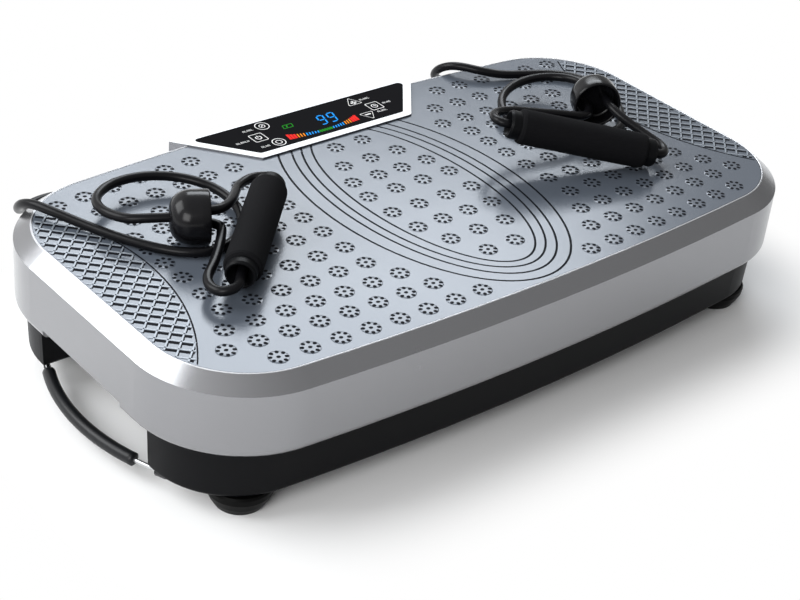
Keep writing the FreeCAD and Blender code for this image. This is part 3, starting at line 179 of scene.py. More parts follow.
def material(
    name,
    color,
    roughness,
    metallic=0.0,
    coat=0.0,
    specular=0.5,
    grain=0.1,
    grain_scale=400.0,
    mottle=0.05,
    wall_shade=None,
):
    """Node material: grain is a fine bump, mottle varies the roughness, and the wall colour is painted shade
    on the upright faces.
    """
    made = bpy.data.materials.new(name)
    made.use_nodes = True
    tree = made.node_tree
    shader = tree.nodes["Principled BSDF"]
    shader.inputs["Base Color"].default_value = (*color, 1)
    shader.inputs["Roughness"].default_value = roughness
    shader.inputs["Metallic"].default_value = metallic
    shader.inputs["Coat Weight"].default_value = coat
    shader.inputs["Coat Roughness"].default_value = 0.08
    shader.inputs["Specular IOR Level"].default_value = specular
    place = tree.nodes.new("ShaderNodeTexCoord").outputs["Object"]
    limits = (max(0.02, roughness - mottle), min(1, roughness + mottle))
    sheen = range_node(tree, noise_node(tree, place, SHEEN_SCALE, 4), (0.0, 1.0), limits)
    tree.links.new(sheen, shader.inputs["Roughness"])
    if wall_shade:
        paint_wall_shade(tree, color, wall_shade)
    if grain:
        bump = tree.nodes.new("ShaderNodeBump")
        bump.inputs["Strength"].default_value = grain
        bump.inputs["Distance"].default_value = GRAIN_DEPTH
        tree.links.new(noise_node(tree, place, grain_scale, 3), bump.inputs["Height"])
        tree.links.new(bump.outputs["Normal"], shader.inputs["Normal"])
    return made


# one look for each material slot of the record
SLOT_LOOKS = {
    "silver_plastic": dict(
        color=(0.28, 0.282, 0.294), roughness=0.26, metallic=0.9, coat=0.3, grain=0.04, grain_scale=1500,
        mottle=0.03,
    ),
    # the mat's wall colour is painted shade: near-black on the upright walls of its grooves and pockets
    "mat_rubber": dict(
        color=(0.1, 0.117, 0.145), roughness=0.22, metallic=0.1, grain=0.12, grain_scale=900,
        wall_shade=(0.006, 0.008, 0.012),
    ),
    "gloss_black": dict(color=(0.005, 0.005, 0.006), roughness=0.2, specular=0.22, grain=0, mottle=0.03),
    "black_plastic": dict(
        color=(0.004, 0.0042, 0.005), roughness=0.4, specular=0.08, grain=0.2, grain_scale=900
    ),
    "foot_rubber": dict(color=(0.002, 0.002, 0.002), roughness=0.4, specular=0.06, grain=0.05),
    "grip_rubber": dict(color=(0.008, 0.0085, 0.01), roughness=0.36, specular=0.28),
    "band_rubber": dict(color=(0.004, 0.004, 0.005), roughness=0.28, specular=0.15, grain_scale=1500),
    "belt_rubber": dict(color=(0.012, 0.012, 0.012), roughness=0.7, grain=0.2),
    "foam": dict(color=(0.006, 0.006, 0.007), roughness=0.85, specular=0.08, grain=0.9, grain_scale=1600),
    "bright_steel": dict(color=(0.62, 0.63, 0.64), roughness=0.28, metallic=1, grain=0.05),
    "zinc_steel": dict(color=(0.55, 0.56, 0.58), roughness=0.38, metallic=1),
    "painted_steel": dict(color=(0.03, 0.03, 0.032), roughness=0.5),
    "cast_alloy": dict(color=(0.5, 0.51, 0.52), roughness=0.5, metallic=1, grain=0.5, grain_scale=300),
    "aluminium": dict(color=(0.6, 0.61, 0.62), roughness=0.35, metallic=1),
    "circuit_board": dict(color=(0.02, 0.12, 0.04), roughness=0.4, coat=0.3),
    "bronze": dict(color=(0.5, 0.3, 0.13), roughness=0.4, metallic=1),
    "brass": dict(color=(0.65, 0.48, 0.2), roughness=0.3, metallic=1),
}
LOOKS = {name: material(name, **settings) for name, settings in SLOT_LOOKS.items()}
GLASS = material("console_glass", (0.006, 0.006, 0.007), 0.5, specular=0.006, grain=0, mottle=0.03)
# lighter than the silver shell: the bead's colour is a painted highlight along the mat's edge
LIP_HIGHLIGHT = material("lip_painted_highlight", (0.62, 0.63, 0.66), 0.25, metallic=0.5, coat=0.3, grain=0.03, mottle=0.03)
BEZEL = material("bezel_white", (0.8, 0.81, 0.83), 0.35, metallic=0.1, coat=0.3, grain=0.03, mottle=0.03)
# near-black painted shade, for the holes of the rosettes, the oval grooves and the walls of the end zones'
# pockets
PAINTED_SHADE = material("painted_shade_dark", (0.006, 0.007, 0.01), 0.6, specular=0.05)
RIB = material("rib_grey", (0.24, 0.27, 0.31), 0.3, metallic=0.15)
PRINT_COLORS = {
    "white": (0.8, 0.8, 0.8),
    "blue": (0.01, 0.3, 0.85),
    "red": (0.75, 0.02, 0.015),
    "orange": (0.85, 0.25, 0.01),
    "green": (0.01, 0.22, 0.01),
}
PRINT = {
    name: material("print_" + name, color, 0.6, specular=0.04, grain=0.05)
    for name, color in PRINT_COLORS.items()
}


def dress_nodes():
    """Gives each CAD node the look of its material slot, and the console's window its glass."""
    for part in frame["record"]["subparts"]:
        node = frame["nodes"][part["node"]]
        look = LOOKS[part["material_slot"]]
        if not node.material_slots:
            node.data.materials.append(look)
        for slot in node.material_slots:
            slot.material = look
    frame["nodes"]["console_window"].material_slots[0].material = GLASS


dress_nodes()


# --- pieces in mesh code --------------------------------------------------------------------------

class Shape:
    """Points and faces of one piece, gathered bit by bit."""

    def __init__(self):
        self.points = []
        self.faces = []

    def add_face(self, outline, height):
        """One flat face over an outline in plan."""
        base = len(self.points)
        self.points += [(x, y, height) for x, y in outline]
        self.faces.append(tuple(range(base, base + len(outline))))

    def bridge(self, base, rings, count, flip=False):
        """Quads between neighbours in a row of closed rings, of count points each, the first one at base."""
        for ring in range(rings - 1):
            for k in range(count):
                a = base + ring * count + k
                b = base + ring * count + (k + 1) % count
                quad = (a, b, b + count, a + count)
                self.faces.append(quad[::-1] if flip else quad)


def circle(x, y, radius, sides=32):
    angles = [2 * math.pi * k / sides for k in range(sides)]
    return [(x + radius * math.cos(angle), y + radius * math.sin(angle)) for angle in angles]


def piece(name, shape, look, body, smooth=False):
    """Object made from a shape in millimetres, which rides on a body."""
    mesh = bpy.data.meshes.new(name)
    mesh.from_pydata([tuple(value * MM for value in point) for point in shape.points], [], shape.faces)
    mesh.update()
    for face in mesh.polygons:
        face.use_smooth = smooth
    made = bpy.data.objects.new(name, mesh)
    bpy.context.scene.collection.objects.link(made)
    made.data.materials.append(look)
    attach(made, body)
    return made


# --- band stoppers --------------------------------------------------------------------------------

# where the band enters the bell, and the way that the cup opens
STOPPERS = {
    "left": ((-223, 34, 153.6), (0.86, -0.5, 0.02)),
    "right": ((232, 30, 153.6), (-0.5, -0.86, 0.0)),
}
STOPPER_BACK = 6.0
STOPPER_SIDES = 56


def stopper_profile():
    """Radius and distance from the back: the band's hole, domed back, rounded rim and the cup inside."""
    dome_angles = [math.pi / 2 * k / 10 for k in range(11)]
    dome = [(7 + 15 * math.sin(angle), 17 - 17 * math.cos(angle)) for angle in dome_angles]
    rim = [(22, 24), (22, 30.4), (21.5, 31.5), (20.6, 32), (19.8, 31.7), (19.3, 31)]
    cup = [(19, 20.4), (18, 18.7), (16, 18.05), (0.3, 18)]
    return [(5.5, 0.0)] + dome + rim + cup


def make_stopper(side):
    """Turned bell: closed round back with the band's hole, open cup on the side of the grip."""
    apex, way = (Vector(v) for v in STOPPERS[side])
    way.normalize()
    start = apex - way * STOPPER_BACK
    turn = Vector((0, 0, 1)).rotation_difference(way)
    profile = stopper_profile()
    bell = Shape()
    for radius, along in profile:
        for x, y in circle(0, 0, radius, STOPPER_SIDES):
            bell.points.append(start + turn @ Vector((x, y, along)))
    bell.bridge(0, len(profile), STOPPER_SIDES)
    made = piece("stopper_bell_" + side, bell, LOOKS["gloss_black"], "platform", smooth=True)
    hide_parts("stopper_" + side)
    return made


# --- carry handles --------------------------------------------------------------------------------

HANDLE_WIRE_RADIUS = 1.75
HANDLE_HALF_SPAN = 77.0
HANDLE_SAG = 16.0
HANDLE_TAIL = 15.0
HANDLE_REACH = box_mm("handle_wire_right")[1][0] - HANDLE_WIRE_RADIUS
HANDLE_HEIGHT = sum(corner[2] for corner in box_mm("handle_wire_right")) / 2
# the wire lies on a large arc, which starts and ends at the half span
HANDLE_BOW = (HANDLE_HALF_SPAN**2 + HANDLE_SAG**2) / (2 * HANDLE_SAG)
HANDLE_CENTRE = HANDLE_REACH - HANDLE_BOW

TUBE_FRONT, TUBE_BACK = 61.0, 72.0
TUBE_RADIUS = 5.4
TUBE_SIDES = 20
TUBE_STEPS = 40
# angle past the end of the tube, and the radius there
TUBE_ENDS = [(0.004, 2.2), (0.003, 4.6)]

CLIP_HALF_LENGTH = 6.5
CLIP_HALF_WIDTH = 2.7
CLIP_LEVELS = (14.3, 16.2)
CLIP_STEPS = 24


def make_handle_tube(side, hand):
    """Rubber tube on the handle wire, a bar along the wire's arc with rounded ends."""
    first, last = -math.asin(TUBE_FRONT / HANDLE_BOW), math.asin(TUBE_BACK / HANDLE_BOW)
    rings = [(first - past, radius) for past, radius in TUBE_ENDS]
    rings += [(first + (last - first) * k / TUBE_STEPS, TUBE_RADIUS) for k in range(TUBE_STEPS + 1)]
    rings += [(last + past, radius) for past, radius in reversed(TUBE_ENDS)]
    tube = Shape()
    for angle, radius in rings:
        for out, rise in circle(HANDLE_BOW, HANDLE_HEIGHT, radius, TUBE_SIDES):
            x = HANDLE_CENTRE + out * math.cos(angle)
            tube.points.append((side * x, out * math.sin(angle), rise))
    tube.bridge(0, len(rings), TUBE_SIDES, flip=side < 0)
    made = piece("handle_tube_" + hand, tube, LOOKS["grip_rubber"], "base", smooth=True)
    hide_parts("handle_grip_" + hand)


def clip_plan(side, end):
    """Round-ended bar along the tail of a handle wire."""
    full = math.asin(HANDLE_HALF_SPAN / HANDLE_BOW)
    way = Vector((-side * math.sin(full), end * math.cos(full)))
    wide = Vector((-way.y, way.x))
    start = Vector((side * (HANDLE_CENTRE + HANDLE_BOW * math.cos(full)), end * HANDLE_HALF_SPAN))
    middle = start + way * (HANDLE_TAIL - CLIP_HALF_LENGTH)
    plan = []
    for k in range(CLIP_STEPS):
        angle = 2 * math.pi * (k + 0.5) / CLIP_STEPS
        straight = math.copysign(CLIP_HALF_LENGTH - CLIP_HALF_WIDTH, math.cos(angle))
        along = straight + CLIP_HALF_WIDTH * math.cos(angle)
        plan.append(middle + way * along + wide * CLIP_HALF_WIDTH * math.sin(angle))
    return plan


def make_handle_clips():
    """Small plates that hold the ends of the handle wires against the base."""
    clips = Shape()
    for side in (-1, 1):
        for end in (-1, 1):
            base = len(clips.points)
            plan = clip_plan(side, end)
            for level in CLIP_LEVELS:
                clips.points += [(spot.x, spot.y, level) for spot in plan]
            clips.faces.append(tuple(base + CLIP_STEPS - 1 - k for k in range(CLIP_STEPS)))
            clips.faces.append(tuple(base + CLIP_STEPS + k for k in range(CLIP_STEPS)))
            clips.bridge(base, 2, CLIP_STEPS)
    made = piece("handle_clips", clips, LOOKS["painted_steel"], "base")
    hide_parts("handle_clamps")


make_handle_tube(-1, "left")
make_handle_tube(1, "right")
make_handle_clips()


# --- cords ----------------------------------------------------------------------------------------

CORD_RADIUS = 4.0
CORDS = {
    "band_left": [
        (-232, 179.25, 89), (-232.2, 179.6, 99), (-242, 183.5, 106), (-259, 183, 107), (-277, 176, 109),
        (-289, 166, 114), (-295, 156, 124), (-297, 145, 133), (-294.5, 131, 138.6), (-288, 113, 138.8),
        (-277, 90, 136.6), (-266, 65, 135.6), (-251, 36, 135.6), (-233, 12, 135.6), (-210, 0, 135.6),
        (-184, 6, 135.6), (-164, 26, 136), (-153, 52, 137), (-156, 80, 140), (-174, 104, 143),
        (-202, 118, 145), (-232, 118, 146), (-256, 103, 147), (-264, 80, 149), (-257, 56, 151),
        (-243.5, 45.9, 152.9), (-228.2, 37, 153.5),
    ],
    "band_right": [
        (232, 179.25, 89), (231.8, 179.6, 99), (222, 183.5, 106), (204, 186, 107), (187, 188, 110),
        (175, 185, 119), (171, 175, 131), (175, 163, 138.6), (182, 152, 140.4), (191, 140, 139.6),
        (208, 126, 136.6), (232, 117, 135.6), (258, 104, 135.6), (275, 82, 135.6), (278, 56, 135.6),
        (270, 32, 135.6), (256, 10, 135.6), (234, -13, 135.6), (200, -16, 135.6), (166, 1, 136),
        (147, 27, 138), (147, 56, 141), (165, 80, 144), (192, 91, 146), (220, 88, 148),
        (238, 72, 150.5), (242.6, 48.3, 153.4), (235, 35.2, 153.6),
    ],
    "loop_left": [
        (-214.9, 24.4, 161.2), (-199.3, 15.4, 161.5), (-180, 24, 158), (-162, 42, 153), (-148, 58, 149),
        (-128, 66, 148), (-117, 50, 153), (-134, 33, 155.7), (-157, 10.5, 153.6), (-178.5, -10.5, 151.6),
        (-200, -31.5, 150.6), (-224, -54.9, 150.3), (-235, -68, 147.5), (-250, -62, 144.5), (-248, -42, 144),
        (-226, -24, 145), (-204, 0, 146), (-189.7, 19.6, 147), (-210.4, 31.6, 146.5),
    ],
    "loop_right": [
        (219.6, 23.3, 149.3), (210.5, 7.7, 149.6), (192, -2, 153), (166, 7, 158), (140, 18, 162),
        (116, 24, 167), (95, 19, 171), (85.7, 2.3, 173.1), (102.2, -8.3, 169.4), (126, -23.7, 163),
        (150.5, -39.5, 157), (175, -55.3, 151.8), (198.9, -70.7, 147.6), (215.4, -81.3, 143.8),
        (229, -69, 143), (226, -46, 147), (221, -22, 153), (221.2, -3.1, 157.9), (232.3, 15.9, 157.9),
    ],
}


def make_cord(name, route):
    curve = bpy.data.curves.new(name + "_line", "CURVE")
    curve.dimensions = "3D"
    curve.bevel_depth = CORD_RADIUS * MM
    curve.bevel_resolution = 5
    curve.use_fill_caps = True
    curve.resolution_u = 8
    spline = curve.splines.new("NURBS")
    spline.points.add(len(route) - 1)
    for point, place in zip(spline.points, route):
        point.co = (place[0] * MM, place[1] * MM, place[2] * MM, 1)
    spline.order_u = 3
    spline.use_endpoint_u = True
    made = bpy.data.objects.new(name + "_cord", curve)
    bpy.context.scene.collection.objects.link(made)
    made.data.materials.append(LOOKS["band_rubber"])
    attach(made, "platform")
    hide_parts(name)
    kind, side = name.split("_")
    carried = ("foam_grip_", "grip_core_") if kind == "loop" else ("band_hook_",)
    with_pieces = [frame["nodes"][node + side] for node in carried]
    if kind == "loop":
        with_pieces.append(make_stopper(side))


for cord_name, cord_route in CORDS.items():
    make_cord(cord_name, cord_route)


# --- rosettes on the mat --------------------------------------------------------------------------

ZONE_START = 259.7
ZONE_ARC = 224.0
ZONE_ARC_Y = 18.4

ROSETTE_PITCH = 27.0
ROSETTE_MARGIN = 11.0
ROW_BOW = 1.17e-6
# each row's place from front to back, then how far out its first rosette lies on each side, and how many
ROWS = [
    (-149, 60, 8), (-122, 87, 8), (-96.5, 100, 7), (-70, 113, 6), (-42.5, 113, 6), (-13.5, 113, 6),
    (13, 113, 6), (37.5, 113, 6), (60.5, 113, 6), (85, 99, 7), (113, 113, 6), (142, 139, 6),
]
# rows inside the oval, with each rosette's place from side to side
MIDDLE_ROWS = [
    (-105, (-15, 15)), (-76, (-30, 0, 30)), (-47.5, (-41, -14, 14, 41)), (-18, (-44, -15, 15, 44)),
    (12.7, (-45, -15, 15, 45)), (38.5, (-41, -13, 13, 41)), (65.7, (-30, 0, 30)), (96.3, (-15, 15)),
]
# radius of the boss and its rise above the mat
BOSS_RINGS = [(8.3, 0.05), (7.9, 0.17), (7.2, 0.27), (4.0, 0.32)]
BOSS_SIDES = 20
DOT_COUNT = 8
DOT_RING = 6.3
DOT_HALF_LENGTH = 1.8
DOT_HALF_WIDTH = 1.55
DOT_RISE = 0.4


def end_arc(y):
    """Where the rosettes stop and the ribbed end zone starts, as a distance from the middle."""
    across = min(150, abs(y - ZONE_ARC_Y))
    return ZONE_START + ZONE_ARC - math.sqrt(ZONE_ARC**2 - across**2)


def rosette_places():
    """Rows follow the bow of the long sides and stop at the end zones; the oval has rows of its own."""
    places = []
    for y, first, count in ROWS:
        for side in (-1, 1):
            for k in range(count):
                x = side * (first + ROSETTE_PITCH * k)
                if abs(x) < end_arc(y) - ROSETTE_MARGIN:
                    places.append((x, y * (1 - ROW_BOW * x * x)))
    for y, xs in MIDDLE_ROWS:
        places += [(x, y) for x in xs]
    return places


def add_boss(bosses, x, y):
    base = len(bosses.points)
    for radius, rise in BOSS_RINGS:
        bosses.points += [(px, py, MAT_TOP + rise) for px, py in circle(x, y, radius, BOSS_SIDES)]
    bosses.bridge(base, len(BOSS_RINGS), BOSS_SIDES)
    bosses.faces.append(tuple(range(len(bosses.points) - BOSS_SIDES, len(bosses.points))))


def add_hole_shade(hole_shade, x, y, turn):
    """Oval dark dot, painted shade of a hole in the mat; its long side along the direction of turn."""
    c, s = math.cos(turn), math.sin(turn)
    outline = []
    for u, v in circle(0, 0, 1, 10):
        along, over = u * DOT_HALF_LENGTH, v * DOT_HALF_WIDTH
        outline.append((x + along * c - over * s, y + along * s + over * c))
    hole_shade.add_face(outline, MAT_TOP + DOT_RISE)


def make_rosettes():
    bosses, hole_shade = Shape(), Shape()
    for x, y in rosette_places():
        add_boss(bosses, x, y)
        add_hole_shade(hole_shade, x, y, 0)
        for k in range(DOT_COUNT):
            turn = 2 * math.pi * (k + 0.5) / DOT_COUNT
            add_hole_shade(hole_shade, x + DOT_RING * math.cos(turn), y + DOT_RING * math.sin(turn), turn)
    piece("rosette_bosses", bosses, LOOKS["mat_rubber"], "platform", smooth=True)
    # the dots are painted shade: dark marks where the rosettes have their holes
    piece("rosette_hole_shade", hole_shade, PAINTED_SHADE, "platform")


make_rosettes()


# --- oval grooves of the mat ----------------------------------------------------------------------

# half the width and half the length of each groove
OVALS = ((93, 160), (79, 149), (70, 139), (59, 131))
OVAL_LINE_HALF = 0.9
OVAL_LINE_DROP = 0.3
OVAL_STEPS = 160
OVAL_END_GAP = 8.5


def make_oval_groove_shade():
    """Painted shade in each oval groove round the middle of the mat: a dark band down in the groove, as far
    as the console's frame.
    """
    lines = Shape()
    for half_width, half_length in OVALS:
        base = len(lines.points)
        for u, v in circle(0, 0, 1, OVAL_STEPS):
            for step in (-OVAL_LINE_HALF, OVAL_LINE_HALF):
                x, y = (half_width + step) * u, (half_length + step) * v
                lines.points.append((x, y, MAT_TOP - OVAL_LINE_DROP))
        for k in range(OVAL_STEPS):
            a, b = base + 2 * k, base + 2 * ((k + 1) % OVAL_STEPS)
            quad = (a, a + 1, b + 1, b)
            if all(lines.points[corner][1] < WINDOW_FRONT - OVAL_END_GAP for corner in quad):
                lines.faces.append(quad)
    piece("oval_groove_shade", lines, PAINTED_SHADE, "platform")


make_oval_groove_shade()


# --- bright edge round the mat: a bead with a painted highlight -----------------------------------

# distance outside the mat's outline and rise above its top
LIP_PROFILE = [(0.35, 0.02), (0.6, 0.36), (0.95, 0.42), (1.3, 0.22), (1.6, -0.25)]
LIP_OPEN_HALF = 115.0
LIP_OPEN_START = 100.0


def plate_outline(offset):
    """Plan of the mat moved out by an offset: corners, and long sides that bow on a large radius."""
    corner, crown = MAT_CORNER + offset, MAT_CROWN + offset
    across = MAT_HALF_LENGTH - MAT_CORNER
    rise = math.sqrt((crown - corner) ** 2 - across**2)
    crown_y = MAT_HALF_DEPTH + offset - crown
    join = math.atan2(rise, across)
    quarter = []
    for k in range(25):
        angle = join * k / 24
        quarter.append((across + corner * math.cos(angle), crown_y + rise + corner * math.sin(angle)))
    for k in range(1, 8):
        angle = join + (math.pi / 2 - join) * k / 8
        quarter.append((crown * math.cos(angle), crown_y + crown * math.sin(angle)))
    outline = []
    for mirror_x, mirror_y in ((1, 1), (-1, 1), (-1, -1), (1, -1)):
        placed = [(x * mirror_x, y * mirror_y) for x, y in quarter]
        outline += placed if mirror_x == mirror_y else placed[::-1]
    return outline


def make_lip():
    """Bead between the mat and the shell, open where the console stands; its bright colour is a painted
    highlight.
    """
    lip = Shape()
    for offset, rise in LIP_PROFILE:
        lip.points += [(x, y, MAT_TOP + rise) for x, y in plate_outline(offset)]
    count = len(lip.points) // len(LIP_PROFILE)
    for level in range(len(LIP_PROFILE) - 1):
        for k in range(count):
            a, b = level * count + k, level * count + (k + 1) % count
            ends = (lip.points[a], lip.points[b])
            if not all(y > LIP_OPEN_START and abs(x) < LIP_OPEN_HALF for x, y, _ in ends):
                lip.faces.append((b, a, a + count, b + count))
    piece("lip_bead", lip, LIP_HIGHLIGHT, "platform", smooth=True)


make_lip()


# --- ribbed end zones of the mat ------------------------------------------------------------------

CELL = 10.0
HALF_ROOT = math.sqrt(0.5)
ZONE_MARGIN = 0.5
ZONE_INSET = 0.8
# lines tried on each side of the middle, then steps tried along each of them
RIB_LINES = 40
RIB_REACH = 900
RIB_STEP = 0.5
RIB_LEAST_STEPS = 6
# distance from the middle of the rib and rise above the mat
RIB_PROFILE = ((-0.8125, 0.05), (-0.65, 0.5), (0.65, 0.5), (0.8125, 0.05))
POCKET_LINES = 60
POCKET_HALF_DIAGONAL = 7.0
SLOT_RISE = 0.12
# dark bars of painted shade on two walls of each pocket between the ribs: start and end, then the two edges
FAR_WALL = [(-4.2 + 1.4 * k, -2.8 + 1.4 * k, 1.1, 4.3) for k in range(6)]
SIDE_WALL = [(-4.3, -3.4, -3.6 + 1.6 * k, -2.0 + 1.6 * k) for k in range(3)]
EDGE_FRONT, EDGE_BACK = -128, 134
EDGE_LINE = (-0.9, 0.5)
EDGE_STEPS = 60


def in_zone(x, y, inset):
    """True inside the end zone, between its arc and the edge of the mat."""
    side, across = abs(x), abs(y)
    if side < end_arc(y) + inset:
        return False
    if across < MAT_CORNER_Y:
        return side < MAT_HALF_LENGTH - ZONE_MARGIN - inset
    from_corner = math.hypot(side - (MAT_HALF_LENGTH - MAT_CORNER), across - MAT_CORNER_Y)
    return from_corner < MAT_CORNER - ZONE_MARGIN - inset


def add_rib(ribs, ends):
    """Bar with bevelled sides along a straight line on the mat."""
    (ax, ay), (bx, by) = ends
    length = math.hypot(bx - ax, by - ay)
    nx, ny = (ay - by) / length, (bx - ax) / length
    base = len(ribs.points)
    for x, y in ends:
        for offset, rise in RIB_PROFILE:
            ribs.points.append((x + nx * offset, y + ny * offset, MAT_TOP + rise))
    for k in range(3):
        ribs.faces.append((base + k, base + k + 1, base + k + 5, base + k + 4))
    ribs.faces.append((base, base + 4, base + 7, base + 3))


def add_ribs(ribs, side):
    """Two sets of slanting ribs that cross, each cut to the zone."""
    for direction in (-1, 1):
        for k in range(-RIB_LINES, RIB_LINES + 1):
            offset = k * CELL
            inside = []
            for step in range(-RIB_REACH, RIB_REACH + 1):
                along = step * RIB_STEP
                x = direction * (along - offset) * HALF_ROOT
                y = (along + offset) * HALF_ROOT
                if x * side > 0 and in_zone(x, y, ZONE_INSET):
                    inside.append((x, y))
            if len(inside) > RIB_LEAST_STEPS:
                add_rib(ribs, (inside[0], inside[-1]))


def add_pocket_shade(pocket_shade, side):
    """Painted shade on the walls of the pockets between the ribs, in short dark bars so that they end with
    the zone.
    """
    lines = range(-POCKET_LINES, POCKET_LINES + 1)
    for i in lines:
        for j in lines:
            u, v = (i + 0.5) * CELL, (j + 0.5) * CELL
            x, y = (u + v) * HALF_ROOT, (v - u) * HALF_ROOT
            if x * side < 0 or not in_zone(x, y, -POCKET_HALF_DIAGONAL):
                continue
            for low, high, near, far in FAR_WALL + SIDE_WALL:
                corners = ((low, near), (high, near), (high, far), (low, far))
                outline = [
                    (x + (along + over) * HALF_ROOT, y + (over - along) * HALF_ROOT)
                    for along, over in corners
                ]
                if all(in_zone(px, py, ZONE_INSET) for px, py in outline):
                    pocket_shade.add_face(outline, MAT_TOP + SLOT_RISE)


def add_zone_edge(pocket_shade, side):
    """Painted shade: a dark line along the arc where the zone starts."""
    line = []
    for k in range(EDGE_STEPS + 1):
        y = EDGE_FRONT + (EDGE_BACK - EDGE_FRONT) * k / EDGE_STEPS
        x = end_arc(y)
        if in_zone(side * (x + EDGE_LINE[1]), y, 0.1):
            line.append((x, y))
    base = len(pocket_shade.points)
    for x, y in line:
        for step in EDGE_LINE:
            pocket_shade.points.append((side * (x + step), y, MAT_TOP + SLOT_RISE))
    for k in range(len(line) - 1):
        a = base + 2 * k
        quad = (a, a + 1, a + 3, a + 2)
        pocket_shade.faces.append(quad if side > 0 else quad[::-1])


def make_end_zones():
    ribs, pocket_shade = Shape(), Shape()
    for side in (-1, 1):
        add_ribs(ribs, side)
        add_pocket_shade(pocket_shade, side)
        add_zone_edge(pocket_shade, side)
    piece("zone_ribs", ribs, RIB, "platform")
    piece("zone_pocket_shade", pocket_shade, PAINTED_SHADE, "platform")


make_end_zones()


# --- console --------------------------------------------------------------------------------------

PRINT_LEVEL = WINDOW_TOP + 0.1
BEZEL_STRIP = 7.45
BEZEL_LEVELS = (WINDOW_TOP + 0.02, WINDOW_TOP + 0.22)


def rounded(corners, radius):
    """Outline through counter-clockwise corners, rounded by one radius, or by a tuple with one for each."""
    outline = []
    steps = 6
    count = len(corners)
    radii = radius if isinstance(radius, tuple) else (radius,) * count
    for k, corner in enumerate(corners):
        before, here, after = Vector(corners[k - 1]), Vector(corner), Vector(corners[(k + 1) % count])
        arrive, leave = (here - before).normalized(), (after - here).normalized()
        turn = arrive.angle(leave)
        reach = radii[k] * math.tan(turn / 2)
        centre = here - arrive * reach + Vector((-arrive.y, arrive.x)) * radii[k]
        first = math.atan2(-arrive.x, arrive.y)
        for step in range(steps + 1):
            angle = first + turn * step / steps
            outline.append((centre.x + radii[k] * math.cos(angle), centre.y + radii[k] * math.sin(angle)))
    return outline


def console_outline(strip, radius):
    """The window's outline, moved out by a strip."""
    front, back = WINDOW_FRONT - strip, WINDOW_BACK + strip
    slope = (WINDOW_BACK_HALF - WINDOW_FRONT_HALF) / (WINDOW_BACK - WINDOW_FRONT)
    side = strip * math.hypot(1, slope)
    near = WINDOW_FRONT_HALF + side - slope * strip
    far = WINDOW_BACK_HALF + side + slope * strip
    return rounded([(-near, front), (near, front), (far, back), (-far, back)], radius)


def make_bezel():
    """Thin white cover of the console's frame, a flat band round the window."""
    outer = console_outline(BEZEL_STRIP, (6, 6, 0.5, 0.5))
    inner = console_outline(0.0, 4)
    low, high = BEZEL_LEVELS
    cover = Shape()
    for outline, level in ((outer, low), (outer, high), (inner, high), (inner, low)):
        cover.points += [(x, y, level) for x, y in outline]
    cover.bridge(0, 4, len(outer))
    piece("console_frame", cover, BEZEL, "platform")


# --- prints on the window -------------------------------------------------------------------------

PROGRAMME_KEY = (-49.5, 159.3)
POWER_KEY = (-65, 143)
RESET_KEY = (-54, 127.4)
PLUS_KEY = (51.5, 156.5)
CLOCK_KEY = (64.5, 140.8)
MINUS_KEY = (48.5, 129.2)
SQUARE = [(-7, -7), (7, -7), (7, 7), (-7, 7)]
POINTS_UP = [(-8.6, -5), (8, -5), (0.2, 9)]
POINTS_DOWN = [(-8, 5), (0, -8.6), (8, 5)]
# width of a key's outline at its corners
KEY_LINE = 1.08
# middle of each word and its number of letters
WORDS = ((-66, 158, 5), (-82.5, 142, 6), (-69, 126.5, 4), (65, 157, 5), (79, 141.5, 4), (65, 130, 5))
LETTER_PITCH = 2.3
LETTER_HALF_WIDTH = 0.6
LETTER_HALF_HEIGHT = 1.3
LETTER_STROKE = 0.5

DIGIT_PLACES = (-0.7, 10.6)
DIGIT_LOW = 134.6
DIGIT_WIDTH = 6.6
DIGIT_HEIGHT = 15.5
DIGIT_LEAN = 4.5
DIGIT_STROKE = 1.5
DIGIT_GAP = 0.13
# the segments that make a nine, between grid points one across and two up
NINE = [
    ((0, 2), (1, 2)), ((1, 2), (1, 1)), ((1, 1), (1, 0)),
    ((0, 0), (1, 0)), ((0, 2), (0, 1)), ((0, 1), (1, 1)),
]

SCALE_BARS = 27
SCALE_START, SCALE_WIDTH = -41.0, 75.5
SCALE_MIDDLE, SCALE_REACH = -3.5, 37.0
SCALE_LOW = 124.0
# bars up to a distance from the middle one, their colour and their width
SCALE_COLORS = ((3, "green", 3.0), (8, "blue", 1.3), (11, "orange", 1.3), (14, "red", 2.6))
BATTERY = [(-36, 144.5), (-25, 144.5), (-23, 151), (-34, 151)]
BATTERY_INSIDE = [(-35, 145.4), (-25.8, 145.4), (-24.2, 150.1), (-33.3, 150.1)]


def print_band(ink, outer, inner):
    """Printed line between two closed outlines with the same number of points."""
    base = len(ink.points)
    ink.points += [(x, y, PRINT_LEVEL) for x, y in outer + inner]
    ink.bridge(base, 2, len(outer))


def print_ring(ink, centre, outer, inner):
    print_band(ink, circle(*centre, outer), circle(*centre, inner))


def print_bar(ink, centre, first, last, width):
    """Printed bar between two places, both given from a centre."""
    ax, ay = centre[0] + first[0], centre[1] + first[1]
    bx, by = centre[0] + last[0], centre[1] + last[1]
    length = math.hypot(bx - ax, by - ay)
    nx, ny = (ay - by) / length * width / 2, (bx - ax) / length * width / 2
    corners = [(ax - nx, ay - ny), (bx - nx, by - ny), (bx + nx, by + ny), (ax + nx, ay + ny)]
    ink.add_face(corners, PRINT_LEVEL)


def print_key(ink, centre, corners, radius):
    """Outline of a key: the same rounded shape twice, the inner one smaller by the line's width."""
    cx, cy = centre
    outer = rounded([(cx + x, cy + y) for x, y in corners], radius)
    reach = sum(math.hypot(x, y) for x, y in corners) / len(corners)
    shrink = 1 - KEY_LINE / reach
    print_band(ink, outer, [(cx + (x - cx) * shrink, cy + (y - cy) * shrink) for x, y in outer])


